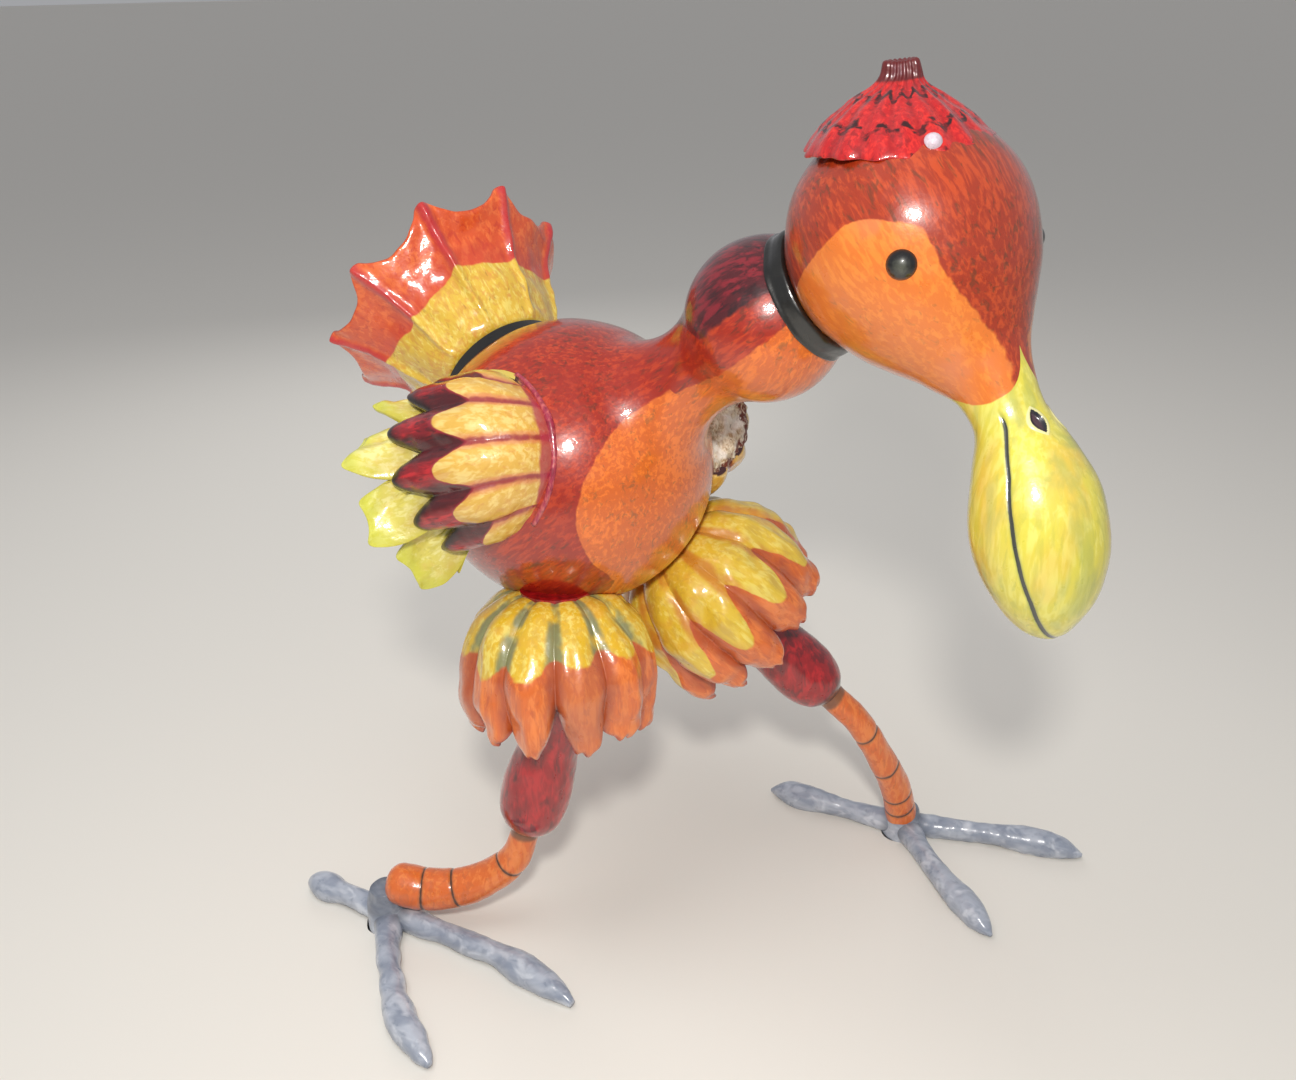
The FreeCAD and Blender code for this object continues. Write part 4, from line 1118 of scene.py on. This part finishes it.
THIGH_RADII = {
    "right": [(0, 8), (0.15, 14), (0.28, 24), (0.36, 25), (0.44, 20.5), (0.57, 18), (0.68, 20), (0.8, 21.5),
              (0.9, 20.5), (0.965, 16), (1, 10.5)],
    "left": [(0, 8), (0.15, 12), (0.3, 16), (0.45, 18), (0.6, 18.5), (0.75, 20.5), (0.88, 20), (0.96, 16),
             (1, 10.5)],
}
HUB = {"right": spot(-83, -114, 0), "left": spot(180, 132, 0)}
HUB_TOP = {"right": 27.0, "left": 20.0}
TOE_TIPS = {
    "right": {"hind": spot(-151, -114.5, 0), "outer": spot(16, -194.5, 0), "inner": spot(62, -118.5, 0)},
    "left": {"hind": spot(81, 127, 0), "outer": spot(298, 161, 0), "inner": spot(264, 56, 0)},
}
TOE_BOW = {"right": {"hind": 0, "outer": -9, "inner": 6}, "left": {"hind": 2, "outer": 3, "inner": -3}}
TOE_HEIGHT = 6.2
TOE_RADII = [(0, 9.5), (0.17, 8.0), (0.35, 7.2), (0.55, 7.6), (0.72, 9.4), (0.85, 8.2), (0.95, 4.8),
             (1, 1.8)]
# Painted rings on each shank: share of its length.
SHANK_RINGS = {"right": (0.27, 0.60, 0.78), "left": (0.33, 0.60, 0.83, 0.93)}
RING_HALF = 1.5


def build_thigh(side, material):
    start = HIP[side] + RUFF_WAY[side] * 6
    line = [start, THIGH_BEND[side], THIGH_BEND[side] * 0.35 + KNEE[side] * 0.65, KNEE[side]]
    points, values = limb(line, THIGH_RADII[side], 170, 110, 0.35, 81)
    values["ends"] = smooth_step((values["share"] - 0.93) / 0.06)
    thigh = grid_piece("painted_" + side + "_drumstick", points, values, loop_v=True, flip=True, caps=True)
    place(thigh, "figure", "crimson_gourd", material, side + "_drumstick")


def build_shank(side, material):
    def rings(radius, length, angle, values):
        waver = 1.6 * np.sin(angle + 1.3)[None] + 0.8 * np.sin(2 * angle)[None]
        values["ring"] = sum(np.exp(-((length - share * length[-1] + waver) / RING_HALF) ** 2)
                             for share in SHANK_RINGS[side])
        values["joint"] = 1 - smooth_step((length + 0.5 * waver - 3) / 7)
        return radius - 0.5 * values["ring"]
    points, values = limb(SHANK_LINE[side], SHANK_RADII[side], 260, 90, 0.35, 91, shape=rings)
    shank = grid_piece("painted_" + side + "_shank", points, values, loop_v=True, flip=True, caps=True)
    place(shank, "figure", "orange_shank", material, side + "_shank")


def flatten(points):
    """Clay that lies on the floor is flat underneath."""
    points[..., 2] = np.maximum(points[..., 2], 0.0)
    return points


def build_foot(side, material):
    hub = HUB[side]
    top = hub + UP * HUB_TOP[side]
    line = [hub - UP * 6, hub * 0.5 + top * 0.5, top]
    points, values = limb(line, [15, 14, 12.5, 9], 70, 80, 0.8, 101, side=(1, 0.2, 0))
    values["hub"] = smooth_step((points[..., 2] - 8) / 10)
    lump = grid_piece("clay_" + side + "_foot_hub", flatten(points), values, loop_v=True, flip=True,
                      caps=True)
    place(lump, "figure", "grey_clay", material, side + "_foot_hub")
    for order, (name, tip) in enumerate(TOE_TIPS[side].items()):
        way = unit(tip - hub)
        across = np.cross(UP, way) * TOE_BOW[side][name]
        length = np.linalg.norm(tip - hub)
        height = UP * TOE_HEIGHT
        line = [hub + height,
                hub + way * (0.35 * length) + across * 0.8 + height,
                hub + way * (0.72 * length) + across * 0.9 + height,
                hub + way * (0.9 * length) + across * 0.4 + height * 0.85,
                tip + height * 0.5]
        points, values = limb(line, TOE_RADII, 240, 70, 0.55, 111 + order, side=(0, 0, 1))
        values["hub"] = 1 - smooth_step((values["share"] - 0.05) / 0.15)
        toe = grid_piece("clay_" + side + "_" + name + "_toe", flatten(points), values, loop_v=True,
                         flip=True, caps=True)
        place(toe, "figure", "grey_clay", material, side + "_" + name + "_toe")


# ---- setting ------------------------------------------------------------------------------------
FLOOR_REACH = 60.0
CAMERA_PLACE = (0.2964, -0.5292, 0.55)
CAMERA_RIGHT = (0.86935, 0.49397, -0.0147)
CAMERA_BACK = (0.45277, -0.78423, 0.42425)
CAMERA_LENS = 32.98
LIT_MIDDLE = (0.0, 0.0, 0.27)
KEY_PLACE = (0.34, -0.62, 0.80)
OVERHEAD_PLACE = (-0.3, -0.3, 1.7)
RIM_PLACE = (-0.9, 0.9, 0.9)
SKY_STRENGTH = 0.38


def simple_material(name, code, roughness):
    material = bpy.data.materials.new(name)
    material.use_nodes = True
    shader = material.node_tree.nodes["Principled BSDF"]
    shader.inputs["Base Color"].default_value = tint(code)
    shader.inputs["Roughness"].default_value = roughness
    return material


def build_floor():
    mesh = bpy.data.meshes.new("floor")
    corners = [(x * FLOOR_REACH, y * FLOOR_REACH, 0) for x, y in ((-1, -1), (1, -1), (1, 1), (-1, 1))]
    mesh.from_pydata(corners, [], [(0, 1, 2, 3)])
    mesh.materials.append(simple_material("pale_floor", "e6e2da", 0.75))
    floor = bpy.data.objects.new("floor", mesh)
    bpy.context.scene.collection.objects.link(floor)


def add_light(name, position, size, power, colour=(1, 1, 1), mirrored_in_varnish=False):
    data = bpy.data.lights.new(name, "AREA")
    data.shape = "DISK"
    data.size = size
    data.energy = power
    data.color = colour
    light = bpy.data.objects.new(name, data)
    light.location = position
    way = Vector(LIT_MIDDLE) - Vector(position)
    light.rotation_mode = "QUATERNION"
    light.rotation_quaternion = way.to_track_quat("-Z", "Y")
    light.visible_glossy = mirrored_in_varnish
    bpy.context.scene.collection.objects.link(light)


def add_camera():
    data = bpy.data.cameras.new("camera")
    data.lens = CAMERA_LENS
    data.sensor_width = 36.0
    camera = bpy.data.objects.new("camera", data)
    right = Vector(CAMERA_RIGHT).normalized()
    back = Vector(CAMERA_BACK).normalized()
    up = back.cross(right).normalized()
    right = up.cross(back)
    turn = Matrix((right, up, back)).transposed().to_4x4()
    camera.matrix_world = Matrix.Translation(CAMERA_PLACE) @ turn
    bpy.context.scene.collection.objects.link(camera)
    bpy.context.scene.camera = camera


def set_light():
    scene = bpy.context.scene
    scene.view_settings.view_transform = "Standard"
    scene.world = scene.world or bpy.data.worlds.new("world")
    scene.world.use_nodes = True
    background = scene.world.node_tree.nodes["Background"]
    background.inputs[0].default_value = (0.95, 0.96, 1.0, 1)
    background.inputs[1].default_value = SKY_STRENGTH
    add_light("key", KEY_PLACE, 0.09, 5.8, (1.0, 0.97, 0.92), True)
    add_light("overhead", OVERHEAD_PLACE, 1.2, 9.0)
    add_light("rim", RIM_PLACE, 0.8, 3.0)


def paint_kept_nodes(materials):
    """CAD nodes that no piece replaces get the material of their slot."""
    for part in frame["record"]["subparts"]:
        node = frame["nodes"][part["node"]]
        if not node.hide_render and part["material_slot"] in materials:
            node.data.materials.clear()
            node.data.materials.append(materials[part["material_slot"]])


def main():
    crimson = thigh_paint()
    orange = shank_paint()
    clay = clay_paint()
    black = enamel()
    build_body(body_paint())
    build_head(head_paint())
    build_eyes(eye_glass())
    build_neck_collar(black)
    build_tail(tail_paint())
    build_wings(cover_paint(), flare_paint(), raw_flesh(), seam_paint())
    build_ruffs({"right": ruff_paint("right_ruff_paint", UP, "dfb52a", "6e7a5c", 0.85),
                 "left": ruff_paint("left_ruff_paint", RUFF_WAY["left"], "e2c03a", "c8742c", 0.7)})
    build_hat(hat_paint())
    for side in RIGHT_LEFT:
        build_thigh(side, crimson)
        build_shank(side, orange)
        build_foot(side, clay)
    paint_kept_nodes({"bare_wood": bare_wood(), "steel": steel(), "dried_glue": dried_glue(),
                      "black_ring": black, "crimson_gourd": crimson})
    build_floor()
    add_camera()
    set_light()


main()
